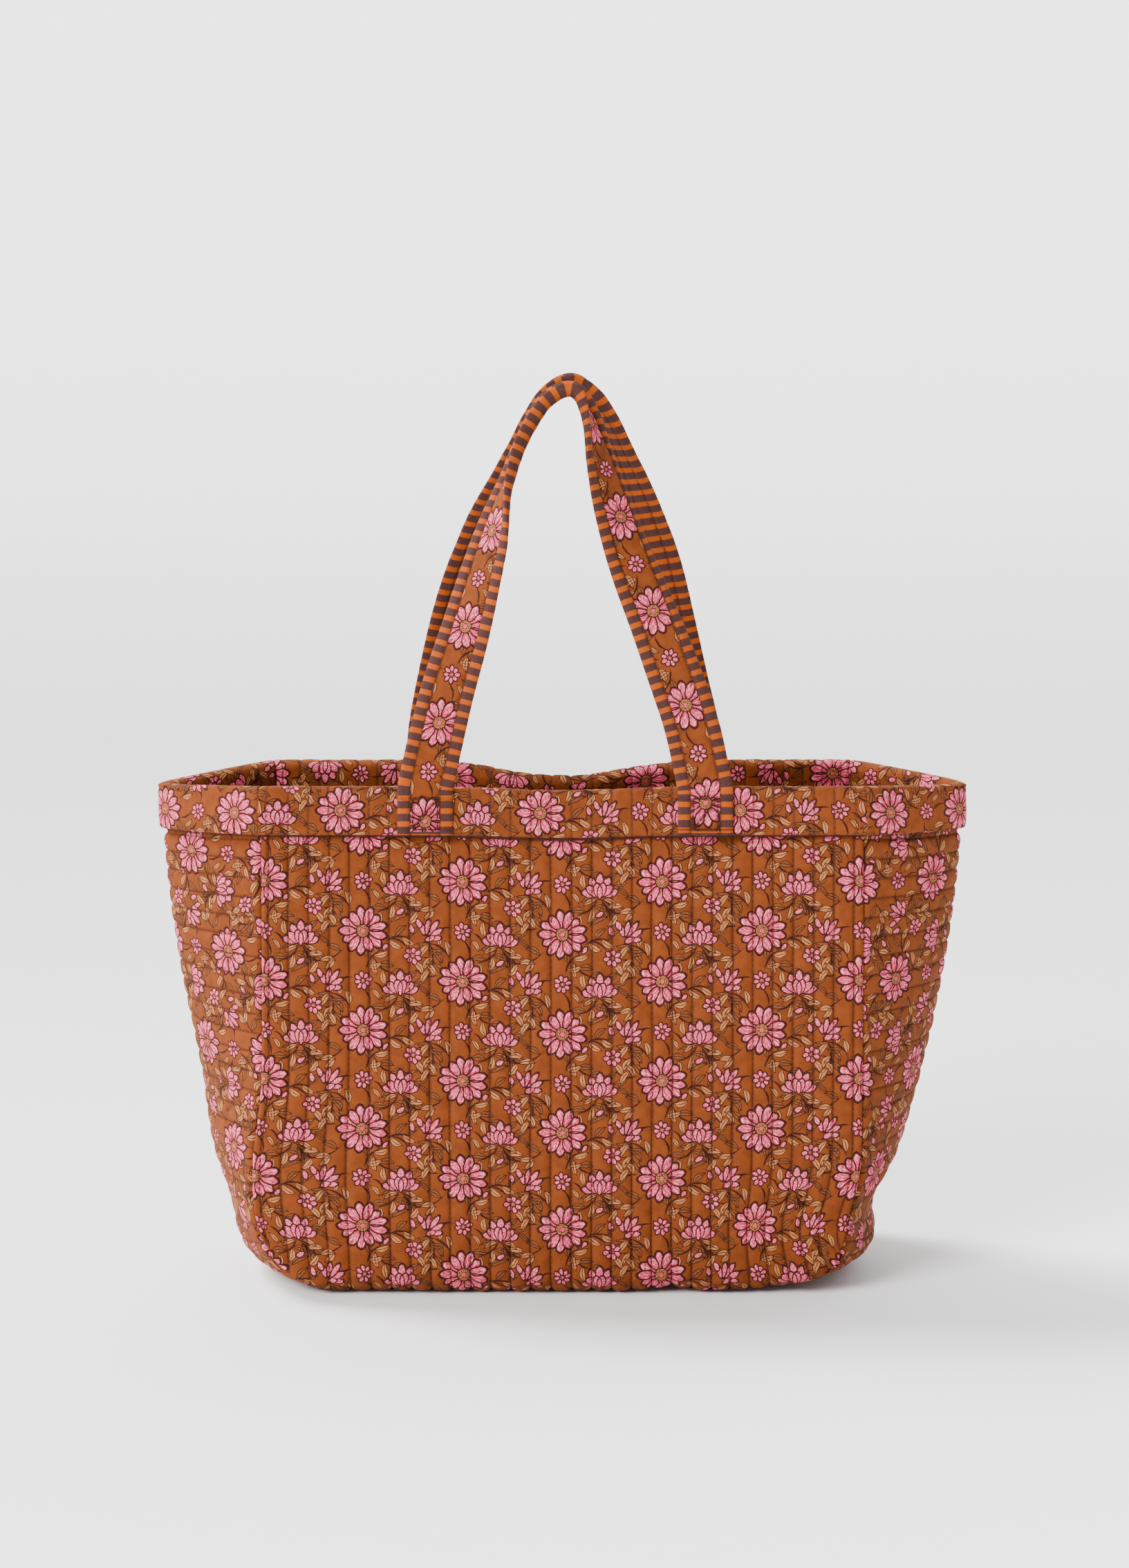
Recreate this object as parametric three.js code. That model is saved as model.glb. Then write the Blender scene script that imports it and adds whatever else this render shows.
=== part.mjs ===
// A quilted cotton project bag for knitting: two U-shaped panels, a gusset and base, a padded rim band
// and two bound strap handles. Millimetres, +Z up, origin on the ground under the middle of the bag,
// front towards -Y. Every sewn piece is its own closed solid, and the quilt is built as its three layers.
import * as THREE from "three";

// ---- Driving dimensions ------------------------------------------------------------------------
const PANEL_TOP = 369; // top edge of the quilted panels, inside the rim band
const RIM_Z = 373; // top of the rim band
const PANEL_HALF = 218; // half the width of the front and back panels
const CORNER_R = 58; // radius of the panels' bottom corners
const BASE_Z = 2.5; // middle of the quilt where it lies on the ground
const BASE_HALF_DEPTH = 92;
const RIM_HALF_DEPTH = 62;
const DEPTH_POWER = 1.6; // how the bag narrows from base to rim
const BELLY = 9; // how far a full panel swells at mid height
const HEM_R = 18; // radius with which a panel turns in under the bag
const HEM_FADE = 0.6; // how the turn fades out round the bottom corners
const GUSSET_BULGE = 74; // how far the gusset stands out at the rim
const GUSSET_BULGE_BASE = 2;
const GUSSET_POWER = 0.9;
const GUSSET_ROUND = 2; // the gusset's section is round at the base...
const GUSSET_SHARPEN = 0.7; // ...and folds to a ridge at the rim
const TIP_DROOP = 7; // the ridge hangs this far below the rim
const FOOT_ROUND = 0.53; // how square the gusset's foot is
const SAG = { front: { dip: 3, lean: 0 }, back: { dip: 10, lean: 28 } }; // the rim between the handles
const SAG_WIDTH = 62;
const SAG_POWER = 5; // how quickly the sag dies away below the rim

// The quilt's layers, as offsets from the middle of the quilt.
const LAYERS = {
  print: { from: 1.0, to: 2.5, material: "print" },
  wadding: { from: -1.5, to: 0.7, material: "wadding" },
  lining: { from: -3.0, to: -1.8, material: "stripe" },
};
const SEAM_GAP = 0.2; // half the gap between two pieces at a seam

// The rim band's section: the inside and the outside of the folded strip, each as [offset, height
// above the panel's top edge].
const BAND_DEPTH = 30;
const BAND_INSIDE = [[2.9, -BAND_DEPTH], [2.9, -17], [2.9, -4], [2.9, 0.4], [0, 0.4],
  [-3.4, 0.4], [-3.4, -4], [-3.4, -17], [-3.4, -BAND_DEPTH]];
const BAND_OUTSIDE = [[6.1, -BAND_DEPTH], [6.1, -17], [6.1, -4], [4.4, 2.6], [0, 4],
  [-4.6, 2.6], [-6.5, -4], [-6.5, -17], [-6.5, -BAND_DEPTH]];

// The bound seam allowances inside the bag stand off the lining along each U-shaped seam.
const FIN_GAP = 1.2;
const FIN_LENGTH = 9;
const FIN_HALF = 1.2;

// Straps. The binding wraps the quilted core and shows as a border on its face.
const STRAP_HALF = 20;
const STRAP_THICK = 2.4; // half the strap's thickness
const SHOW_HALF = 11; // half the width of core that shows between the borders
const CORE_HALF = 18.2;
const POCKET_HALF = 18.6;
const TAB_X = { left: -99, right: 103 }; // middle of each sewn tab
const TAB_LENGTH = 29;
const TAB_OFFSET = 9; // middle of a tab's thickness, from the middle of the quilt
const STITCH_HALF = 0.5; // half the width of a stitched line
const STITCH_PROUD = 0.7;
const HINGE_GAP = 0.5;
const CROWN_OUT = 21; // the crowns' middles are this far from the bag's middle plane
const CROWN_CUP = 6; // the strap's edges curl up this much at the crown
const LOOP_STEPS = 32;
const LOOP_BUNCHING = 1.35; // sections lie closer together towards the crown

// Each handle's middle line as [x, height above the rim], left tab to right tab, and how far up each
// leg the strap has turned edge-on: the power of the height in its twist.
const LOOPS = {
  front: {
    line: [[-99, 0], [-93, 27], [-83, 68], [-71, 108], [-56, 160], [-39, 215], [-24, 251], [-8, 274],
      [7, 280], [17, 265], [27, 236], [39, 199], [52, 160], [67, 121], [80, 84], [93, 45], [103, 0]],
    twist: { left: 1.3, right: 3 },
  },
  back: {
    line: [[-99, 0], [-96, 27], [-90, 60], [-82, 100], [-73, 136], [-61, 172], [-48, 206], [-33, 238],
      [-20, 261], [-7, 278], [7, 284], [19, 277], [31, 259], [44, 228], [58, 189], [70, 150],
      [80, 105], [90, 60], [98, 27], [103, 0]],
    twist: { left: 1.3, right: 2.0 },
  },
};

const COLOURS = { print: "#b5601f", wadding: "#e9e2d3", stripe: "#8a4a2c", thread: "#4a2323" };
const SIDES = { front: -1, back: 1 };
const ENDS = { left: -1, right: 1 };

const bag = new THREE.Group();
const materials = {};
for (const [name, color] of Object.entries(COLOURS))
  materials[name] = new THREE.MeshStandardMaterial({ color, roughness: 0.9, metalness: 0 });

// ---- The bag's surface, at the middle of the quilt ---------------------------------------------
const clamp01 = (t) => Math.min(1, Math.max(0, t));
const range = (count, from, to) =>
  Array.from({ length: count + 1 }, (_, i) => from + ((to - from) * i) / count);

// The height of a panel's bottom edge at x: flat, then a quarter round at each corner.
const FLAT_HALF = PANEL_HALF - CORNER_R;
const CORNER_Z = BASE_Z + CORNER_R;
function hemHeight(x) {
  const past = Math.min(CORNER_R, Math.max(0, Math.abs(x) - FLAT_HALF));
  return CORNER_Z - Math.sqrt(CORNER_R ** 2 - past ** 2);
}

// How far in a panel has turned at a height above its bottom edge.
function hemInset(x, height) {
  const reach = HEM_R * clamp01((PANEL_HALF - Math.abs(x)) / CORNER_R) ** HEM_FADE;
  return HEM_R - Math.sqrt(HEM_R ** 2 - Math.max(0, reach - height) ** 2);
}

const halfDepth = (z) =>
  BASE_HALF_DEPTH - (BASE_HALF_DEPTH - RIM_HALF_DEPTH) * clamp01(z / RIM_Z) ** DEPTH_POWER;

// A point of the front (side -1) or back (side 1) panel, at x and at flat height z.
function panelPoint(side, x, z) {
  const up = clamp01(z / RIM_Z);
  const belly = BELLY * (1 - (x / PANEL_HALF) ** 2) * Math.sin(Math.PI * up);
  const inset = hemInset(x, Math.max(0, z - hemHeight(x)));
  const sag = Math.exp(-((x / SAG_WIDTH) ** 2)) * up ** SAG_POWER;
  const { dip, lean } = side > 0 ? SAG.back : SAG.front;
  return new THREE.Vector3(x, side * (halfDepth(z) + belly - inset - lean * sag), z - dip * sag);
}

// How far a gusset stands out, 0 at its seams and 1 along its middle: t is -1 at the front seam.
const gussetRound = (up, t) => 1 - Math.abs(t) ** (GUSSET_ROUND - GUSSET_SHARPEN * up);

function gussetPoint(end, z, t) {
  const up = clamp01(z / RIM_Z);
  const seam = panelPoint(-1, PANEL_HALF, z).lerp(panelPoint(1, PANEL_HALF, z), (t + 1) / 2);
  const bulge = GUSSET_BULGE_BASE + GUSSET_BULGE * Math.sin((Math.PI / 2) * up) ** GUSSET_POWER;
  const round = gussetRound(up, t);
  const droop = TIP_DROOP * up ** 3;
  return new THREE.Vector3(end * (PANEL_HALF + bulge * round), seam.y, seam.z - droop * round);
}

// A point of the base strip, from the left gusset (q -1) round both bottom corners to the right
// gusset (q 1). Its seams follow the panels' corners, and its middle a squarer corner.
const STRIP_HALF = FLAT_HALF + (Math.PI / 2) * CORNER_R;
function basePoint(q, t) {
  const along = Math.min(STRIP_HALF, Math.abs(q) * STRIP_HALF);
  const end = Math.sign(q) || 1;
  const angle = Math.max(0, along - FLAT_HALF) / CORNER_R;
  const [sin, cos] = [Math.sin(angle), Math.max(0, Math.cos(angle))];
  const seamX = Math.min(along, FLAT_HALF) + CORNER_R * sin;
  const seamZ = BASE_Z + CORNER_R * (1 - cos);
  const foot = gussetPoint(1, CORNER_Z, 0);
  const middleX = Math.min(along, FLAT_HALF) + (foot.x - FLAT_HALF) * sin ** FOOT_ROUND;
  const middleZ = BASE_Z + (foot.z - BASE_Z) * (1 - cos ** FOOT_ROUND);
  const round = gussetRound(clamp01(CORNER_Z / RIM_Z), t);
  return new THREE.Vector3(
    end * (seamX + (middleX - seamX) * round),
    t * panelPoint(1, seamX, seamZ).y,
    seamZ + (middleZ - seamZ) * round,
  );
}

// The unit normal of a surface by finite differences, turned by flip to face out of the bag.
function normalOf(surface, u, v, step, flip) {
  const du = surface(u + step, v).sub(surface(u - step, v));
  const dv = surface(u, v + step).sub(surface(u, v - step));
  return du.cross(dv).multiplyScalar(flip).normalize();
}

const within = (value, limit) => Math.min(limit, Math.max(-limit, value));
const FINE = 0.01;
const SEAM_T = 0.97; // a strip's normal at its seam is taken this far across it
const SEAM_Q = 0.985;

function panelNormal(side, x, z) {
  const inX = within(x, PANEL_HALF - 1);
  const inZ = Math.max(z, hemHeight(inX) + 2 * FINE);
  return normalOf((u, v) => panelPoint(side, u, v), inX, inZ, FINE, -side);
}

function gussetNormal(end, z, t) {
  return normalOf((u, v) => gussetPoint(end, u, v), z, within(t, SEAM_T), FINE, -end);
}

function baseNormal(q, t) {
  return normalOf(basePoint, within(q, SEAM_Q), within(t, SEAM_T), FINE, -1);
}

// The offset direction that two pieces share at a seam, so that their layers meet in a mitre.
const mitre = (a, b) => a.clone().add(b).divideScalar(1 + a.dot(b));

const sideSeam = (side, end, z) =>
  mitre(panelNormal(side, end * PANEL_HALF, z), gussetNormal(end, z, side));

// Where x on a panel's hem lies along the base strip.
function stripParameter(x) {
  const past = clamp01((Math.abs(x) - FLAT_HALF) / CORNER_R);
  const along = past > 0 ? FLAT_HALF + CORNER_R * Math.asin(past) : Math.abs(x);
  return (Math.sign(x) * along) / STRIP_HALF;
}

const hemSeam = (side, x) =>
  mitre(panelNormal(side, x, hemHeight(x)), baseNormal(stripParameter(x), side));

// ---- Solids ------------------------------------------------------------------------------------
// The geometry with its faces pointing out, whichever way its grid ran.
function outward(vertices, faces) {
  const corner = (k) => new THREE.Vector3(...vertices.slice(3 * k, 3 * k + 3));
  let volume = 0;
  for (let k = 0; k < faces.length; k += 3)
    volume += corner(faces[k]).dot(corner(faces[k + 1]).cross(corner(faces[k + 2])));
  if (volume < 0) faces.reverse();
  const geometry = new THREE.BufferGeometry();
  geometry.setAttribute("position", new THREE.Float32BufferAttribute(vertices, 3));
  geometry.setIndex(faces);
  geometry.computeVertexNormals();
  return geometry;
}

// A closed solid between two grids of points. climbs(j) picks the diagonal of a column of facets, so
// that pieces lying on each other are faceted alike.
function slabGeometry(inner, outer, climbs = () => true) {
  const [rows, columns] = [inner.length, inner[0].length];
  const vertices = [inner, outer].flat(2).flatMap((p) => p.toArray());
  const faces = [];
  const at = (grid, i, j) => (grid * rows + i) * columns + j;
  const quad = (a, b, c, d) => faces.push(a, b, c, a, c, d);
  for (let i = 0; i + 1 < rows; i++) {
    for (let j = 0; j + 1 < columns; j++)
      for (const [grid, next, over] of [[1, 1, 0], [0, 0, 1]]) {
        const ring = [at(grid, i, j), at(grid, i + next, j + over), at(grid, i + 1, j + 1),
          at(grid, i + over, j + next)];
        quad(...(climbs(j) ? ring : [...ring.slice(1), ring[0]]));
      }
    quad(at(0, i, 0), at(0, i + 1, 0), at(1, i + 1, 0), at(1, i, 0));
    const end = columns - 1;
    quad(at(1, i + 1, end), at(0, i + 1, end), at(0, i, end), at(1, i, end));
  }
  for (let j = 0; j + 1 < columns; j++) {
    quad(at(1, 0, j + 1), at(0, 0, j + 1), at(0, 0, j), at(1, 0, j));
    quad(at(0, rows - 1, j), at(0, rows - 1, j + 1), at(1, rows - 1, j + 1), at(1, rows - 1, j));
  }
  return outward(vertices, faces);
}

// A closed solid of one section, given as [across, face] points, swept along frames of
// { p, across, face }. The section's edges curl towards its face by cup(share of the way along).
function sweepGeometry(frames, section, cup) {
  const vertices = frames.flatMap(({ p, across, face }, i) => {
    const curl = cup(i / (frames.length - 1));
    return section.flatMap(([w, n]) => {
      const rise = n + curl * (w / STRAP_HALF) ** 2;
      return p.clone().addScaledVector(across, w).addScaledVector(face, rise).toArray();
    });
  });
  const count = section.length;
  const faces = [];
  for (let i = 0; i + 1 < frames.length; i++)
    for (let j = 0; j < count; j++) {
      const k = (j + 1) % count;
      const [a, b, c, d] = [i * count + j, i * count + k, (i + 1) * count + k, (i + 1) * count + j];
      if (section[k][0] > section[j][0]) faces.push(a, b, c, a, c, d);
      else faces.push(a, b, d, b, c, d);
    }
  const outline = section.map(([w, n]) => new THREE.Vector2(w, n));
  const last = (frames.length - 1) * count;
  for (const [a, b, c] of THREE.ShapeUtils.triangulateShape(outline, []))
    faces.push(a, c, b, last + a, last + b, last + c);
  return outward(vertices, faces);
}

function addMesh(name, geometry, material) {
  const mesh = new THREE.Mesh(geometry, materials[material]);
  mesh.name = name;
  bag.add(mesh);
  return mesh;
}

// Moves the first and last rows of a grid of cells in by the seam gap.
function insetEnds(cells) {
  const pull = (row, next) =>
    row.forEach(({ p }, j) => p.add(next[j].p.clone().sub(p).setLength(SEAM_GAP)));
  pull(cells[0], cells[1]);
  pull(cells.at(-1), cells.at(-2));
  return cells;
}

const transposed = (cells) => cells[0].map((_, j) => cells.map((row) => row[j]));
const insetAll = (cells) => transposed(insetEnds(transposed(insetEnds(cells))));

// ---- Quilted panels ----------------------------------------------------------------------------
// Grids of cells { p, n }: a point of the quilt's middle and the direction its layers are offset in.
const CORNER_STEPS = range(3, 0, Math.PI / 2);
const BAND_ROWS = [-BAND_DEPTH, -17, -4, 0].map((down) => PANEL_TOP + down);
const PANEL_SHARES = [0, 0.015, 0.045, 0.12, 0.32, 0.56, 0.8];
const ACROSS = [-1, -0.72, -0.42, -0.16, 0, 0.16, 0.42, 0.72, 1];
const flatSteps = range(8, -FLAT_HALF, FLAT_HALF).slice(1, -1);
const roundSteps = CORNER_STEPS.map((a) => FLAT_HALF + CORNER_R * Math.sin(a));
const panelColumns = [...roundSteps.map((x) => -x).reverse(), ...flatSteps, ...roundSteps];

function panelCell(side, x, z, atHem) {
  const p = panelPoint(side, x, z);
  if (Math.abs(x) > PANEL_HALF - FINE) return { p, n: sideSeam(side, Math.sign(x), z) };
  return { p, n: atHem ? hemSeam(side, x) : panelNormal(side, x, z) };
}

function panelCells(side) {
  return panelColumns.map((x) => {
    const hem = hemHeight(x);
    const low = PANEL_SHARES.map((share) => hem + (BAND_ROWS[0] - hem) * share);
    return [...low, ...BAND_ROWS].map((z, j) => panelCell(side, x, z, j === 0));
  });
}

function gussetCell(end, z, t) {
  const n = Math.abs(t) === 1 ? sideSeam(t, end, z) : gussetNormal(end, z, t);
  return { p: gussetPoint(end, z, t), n };
}

function gussetCells(end) {
  const rows = [...range(5, CORNER_Z, BAND_ROWS[0]).slice(0, -1), ...BAND_ROWS];
  return ACROSS.map((t) => rows.map((z) => gussetCell(end, z, t)));
}

function baseCell(x, t) {
  const q = stripParameter(x);
  const p = basePoint(q, t);
  if (Math.abs(x) > PANEL_HALF - FINE) return { p, n: gussetCell(Math.sign(x), CORNER_Z, t).n };
  return { p, n: Math.abs(t) === 1 ? hemSeam(t, x) : baseNormal(q, t) };
}

function addQuilt(name, cells) {
  const offset = (amount) =>
    cells.map((row) => row.map(({ p, n }) => p.clone().addScaledVector(n, amount)));
  for (const [layer, { from, to, material }] of Object.entries(LAYERS))
    addMesh(`${name}_${layer}`, slabGeometry(offset(from), offset(to)), material);
}

// ---- Rim band: a padded strip folded over the panels' top edge ---------------------------------
function bandColumn(cellAt, outline) {
  return outline.map(([offset, height]) => {
    const { p, n } = cellAt(PANEL_TOP + Math.min(0, height));
    p.addScaledVector(n, offset);
    p.z += Math.max(0, height);
    return { p };
  });
}

function addBand(name, cellAts) {
  const points = (outline) =>
    insetEnds(cellAts.map((cellAt) => bandColumn(cellAt, outline))).map((row) =>
      row.map(({ p }) => p),
    );
  const climbs = (j) => BAND_INSIDE[j + 1][1] > BAND_INSIDE[j][1];
  const geometry = slabGeometry(points(BAND_INSIDE), points(BAND_OUTSIDE), climbs);
  addMesh(`rim_band_${name}`, geometry, "print");
}

// ---- Bound seam allowances inside the bag ------------------------------------------------------
// Each runs down one side seam, along the hem and up the other side seam.
function addSeamFin(name, side) {
  const top = BAND_ROWS[0] - 2;
  const heights = range(5, CORNER_Z, top).slice(1);
  const stations = [
    ...heights.toReversed().map((z) => [-PANEL_HALF, z]),
    ...panelColumns.map((x) => [x, hemHeight(x)]),
    ...heights.map((z) => [PANEL_HALF, z]),
  ];
  const cells = stations.map(([x, z]) => panelCell(side, x, z, true));
  const columns = cells.map(({ p, n }, i) => {
    const ahead = cells[Math.min(i + 1, cells.length - 1)].p;
    const along = ahead.clone().sub(cells[Math.max(i - 1, 0)].p);
    const sharpness = n.length();
    const out = n.clone().normalize();
    const root = -LAYERS.lining.from * sharpness + FIN_HALF * Math.sqrt(sharpness ** 2 - 1) + FIN_GAP;
    return { p, out, root, wide: along.cross(out).setLength(FIN_HALF) };
  });
  const face = (sign) =>
    columns.map(({ p, out, root, wide }) =>
      [root, root + FIN_LENGTH].map((reach) =>
        p.clone().addScaledVector(out, -reach).addScaledVector(wide, sign),
      ),
    );
  addMesh(`${name}_seam_binding`, slabGeometry(face(-1), face(1)), "stripe");
}

// ---- Handles and their sewn tabs ---------------------------------------------------------------
const BINDING_SECTION = [
  [-STRAP_HALF, -STRAP_THICK], [-SHOW_HALF, -STRAP_THICK], [SHOW_HALF, -STRAP_THICK],
  [STRAP_HALF, -STRAP_THICK], [STRAP_HALF, STRAP_THICK], [SHOW_HALF, STRAP_THICK], [SHOW_HALF, 1.6],
  [POCKET_HALF, 1.6], [POCKET_HALF, -1.2], [SHOW_HALF, -1.2], [-SHOW_HALF, -1.2],
  [-POCKET_HALF, -1.2], [-POCKET_HALF, 1.6], [-SHOW_HALF, 1.6], [-SHOW_HALF, STRAP_THICK],
  [-STRAP_HALF, STRAP_THICK],
];
const CORE_SECTION = [
  [-CORE_HALF, -0.8], [-SHOW_HALF, -0.8], [SHOW_HALF, -0.8], [CORE_HALF, -0.8], [CORE_HALF, 1.2],
  [SHOW_HALF, 1.2], [-SHOW_HALF, 1.2], [-CORE_HALF, 1.2],
];

function addStrap(name, frames, cup) {
  addMesh(`${name}_binding`, sweepGeometry(frames, BINDING_SECTION, cup), "stripe");
  addMesh(`${name}_core`, sweepGeometry(frames, CORE_SECTION, cup), "print");
}

// A tab's frame at flat height z: it lies on the band, and its top section is level.
function tabFrame(side, x, z) {
  const slope = panelPoint(side, x + 1, PANEL_TOP).sub(panelPoint(side, x - 1, PANEL_TOP));
  const across = slope.setZ(0).normalize();
  const face = new THREE.Vector3(-across.y, across.x, 0).multiplyScalar(side);
  const p = panelPoint(side, x, z).addScaledVector(face, TAB_OFFSET);
  if (z === PANEL_TOP) p.z = RIM_Z;
  return { p, across, face };
}

// The handle's frames from the left tab over the crown to the right tab. At the tabs the strap faces
// out of the bag, and at the crown its inner edge does.
function loopFrames(side, { line, twist }) {
  const height = Math.max(...line.map(([, rise]) => rise));
  const [left, right] = [TAB_X.left, TAB_X.right].map((x) => tabFrame(side, x, PANEL_TOP));
  const points = line.map(([x, rise]) => {
    const y = THREE.MathUtils.lerp(left.p.y, side * CROWN_OUT, rise / height);
    return new THREE.Vector3(x, y, RIM_Z + HINGE_GAP + rise);
  });
  const curve = new THREE.CatmullRomCurve3(points, false, "centripetal");
  const frames = range(LOOP_STEPS, -1, 1).map((s) => {
    const u = clamp01(0.5 + 0.5 * Math.sign(s) * Math.abs(s) ** LOOP_BUNCHING);
    const p = curve.getPointAt(u);
    const along = curve.getTangentAt(u);
    const facing = new THREE.Vector3(0, side, 0);
    facing.addScaledVector(along, -facing.dot(along)).normalize();
    const inward = along.clone().cross(facing).multiplyScalar(-side);
    const rise = clamp01((p.z - RIM_Z - HINGE_GAP) / height);
    const angle = (Math.PI / 2) * rise ** (u < 0.5 ? twist.left : twist.right);
    const across = inward.multiplyScalar(Math.cos(angle)).addScaledVector(facing, Math.sin(angle));
    return { p, across, face: across.clone().cross(along).multiplyScalar(-side) };
  });
  frames[0] = { ...left, p: frames[0].p };
  frames[LOOP_STEPS] = {
    p: frames[LOOP_STEPS].p,
    across: right.across.clone().negate(),
    face: right.face,
  };
  return frames;
}

// The stitching that holds a tab down: a box with one diagonal.
function addStitching(name, bottom, top) {
  const up = top.p.clone().sub(bottom.p);
  const [right, low, high] = [SHOW_HALF - 1.5, 4, up.length() - 3];
  const shape = new THREE.Shape();
  shape.moveTo(-right, low).lineTo(right, low).lineTo(right, high).lineTo(-right, high);
  const inset = 2 * STITCH_HALF;
  for (const sign of [-1, 1]) {
    const x = sign * (right - inset);
    const [near, far] = sign > 0 ? [low + inset, high - 2.5 * inset] : [high - inset, low + 2.5 * inset];
    const hole = new THREE.Path();
    hole.moveTo(x, near).lineTo(x, far).lineTo(-x + 0.7 * sign * inset, near).closePath();
    shape.holes.push(hole);
  }
  const geometry = new THREE.ExtrudeGeometry(shape, { depth: STITCH_PROUD, bevelEnabled: false });
  const normal = bottom.across.clone().cross(up).normalize();
  const outside = Math.sign(normal.dot(bottom.face));
  const across = bottom.across.clone().multiplyScalar(outside);
  normal.multiplyScalar(outside);
  const basis = new THREE.Matrix4().makeBasis(across, up.normalize(), normal);
  const place = bottom.p.clone().addScaledVector(normal, STRAP_THICK + SEAM_GAP);
  addMesh(name, geometry.applyMatrix4(basis.setPosition(place)), "thread");
}

function addHandle(name, side) {
  const cup = (share) => CROWN_CUP * Math.sin(Math.PI * share) ** 4;
  addStrap(`${name}_handle`, loopFrames(side, LOOPS[name]), cup);
  for (const end of Object.keys(ENDS)) {
    const [bottom, top] = [PANEL_TOP - TAB_LENGTH, PANEL_TOP].map((z) =>
      tabFrame(side, TAB_X[end], z),
    );
    addStrap(`${name}_${end}_tab`, [bottom, top], () => 0);
    addStitching(`${name}_${end}_tab_stitching`, bottom, top);
  }
}

for (const [name, side] of Object.entries(SIDES)) {
  addQuilt(`${name}_panel`, insetAll(panelCells(side)));
  addBand(name, panelColumns.map((x) => (z) => panelCell(side, x, z, false)));
  addSeamFin(name, side);
  addHandle(name, side);
}
for (const [name, end] of Object.entries(ENDS)) {
  addQuilt(`${name}_gusset`, insetAll(gussetCells(end)));
  addBand(name, ACROSS.map((t) => (z) => gussetCell(end, z, t)));
}
addQuilt("base", insetAll(panelColumns.map((x) => ACROSS.map((t) => baseCell(x, t)))));

export default bag;
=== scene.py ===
"""Looks for a quilted knitting bag: printed quilt, rolled rim, bound strap handles and their stitching."""

import math

import bmesh
import bpy
import numpy as np
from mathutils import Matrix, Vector


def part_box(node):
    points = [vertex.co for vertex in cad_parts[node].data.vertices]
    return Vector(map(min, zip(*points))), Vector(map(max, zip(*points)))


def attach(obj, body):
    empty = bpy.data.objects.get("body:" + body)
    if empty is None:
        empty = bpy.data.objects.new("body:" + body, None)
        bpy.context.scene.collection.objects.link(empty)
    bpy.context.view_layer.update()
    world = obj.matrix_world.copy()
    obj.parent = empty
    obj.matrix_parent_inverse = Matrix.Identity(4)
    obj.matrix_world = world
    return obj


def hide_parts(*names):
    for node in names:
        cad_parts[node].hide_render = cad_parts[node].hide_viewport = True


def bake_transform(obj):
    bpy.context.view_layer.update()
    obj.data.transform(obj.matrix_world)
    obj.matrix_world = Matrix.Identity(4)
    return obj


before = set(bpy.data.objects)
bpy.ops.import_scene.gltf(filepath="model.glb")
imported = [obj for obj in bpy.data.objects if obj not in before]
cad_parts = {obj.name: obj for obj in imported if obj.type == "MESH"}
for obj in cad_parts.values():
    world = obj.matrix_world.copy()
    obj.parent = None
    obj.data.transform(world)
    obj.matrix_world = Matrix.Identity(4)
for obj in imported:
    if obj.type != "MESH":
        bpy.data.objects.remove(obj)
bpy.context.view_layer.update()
MM = 0.001

# ---- The bag's dimensions, in millimetres, as the CAD has them
RIM_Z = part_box("rim_band_front")[1].z / MM
PANEL_TOP = RIM_Z - 4
PANEL_HALF = 218.0
CORNER_R = 58.0
BASE_Z = 2.5
BASE_HALF_DEPTH, RIM_HALF_DEPTH, DEPTH_POWER = 92.0, 62.0, 1.6
BELLY = 9.0
HEM_R, HEM_FADE = 18.0, 0.6
GUSSET_BULGE, GUSSET_BULGE_BASE, GUSSET_POWER = 74.0, 2.0, 0.9
GUSSET_ROUND, GUSSET_SHARPEN = 2.0, 0.7
TIP_DROOP = 7.0
FOOT_ROUND = 0.53
SAG_WIDTH, SAG_POWER = 62.0, 5
SAG = {-1: (3.0, 0.0), 1: (10.0, 28.0)}  # the rim's dip and forward lean between the handles
BAND_DEPTH = 30.0
STRAP_HALF = 20.0
SHOW_HALF = 10.6  # half the width of printed strap between its borders
TAB_X = (-99.0, 103.0)
TAB_LENGTH = 29.0
TAB_OFFSET = 9.0
HINGE_GAP = 0.5
CROWN_OUT = 21.0

CHANNEL = 14.6  # quilting pitch of the panels
FIRST_CHANNEL = 6.5  # the first line of quilting right of the middle
STRIP_CHANNEL = 14.0  # and of the gusset and base
STRIPE = 9.3  # one orange and one dark stripe

FLAT_HALF = PANEL_HALF - CORNER_R
CORNER_Z = BASE_Z + CORNER_R
STRIP_HALF = FLAT_HALF + math.pi / 2 * CORNER_R

LOOPS = {
    "front": dict(
        side=-1,
        line=[(-99, 0), (-93, 27), (-83, 68), (-71, 108), (-56, 160), (-39, 215), (-24, 251),
              (-8, 274), (7, 280), (17, 265), (27, 236), (39, 199), (52, 160), (67, 121), (80, 84),
              (93, 45), (103, 0)],
        twist=(1.3, 3.0),
    ),
    "back": dict(
        side=1,
        line=[(-99, 0), (-96, 27), (-90, 60), (-82, 100), (-73, 136), (-61, 172), (-48, 206),
              (-33, 238), (-20, 261), (-7, 278), (7, 284), (19, 277), (31, 259), (44, 228),
              (58, 189), (70, 150), (80, 105), (90, 60), (98, 27), (103, 0)],
        twist=(1.3, 2.0),
    ),
}

# ---- Camera
CAMERA_TILT = math.radians(9.0)
CAMERA_DISTANCE = 2.679
CAMERA_AIM = Vector((0.0015, -0.060, RIM_Z * MM + 0.0015))
CAMERA_LENS = 85.0


def place(name, data):
    """A new object in the scene."""
    obj = bpy.data.objects.new(name, data)
    bpy.context.scene.collection.objects.link(obj)
    return obj


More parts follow.
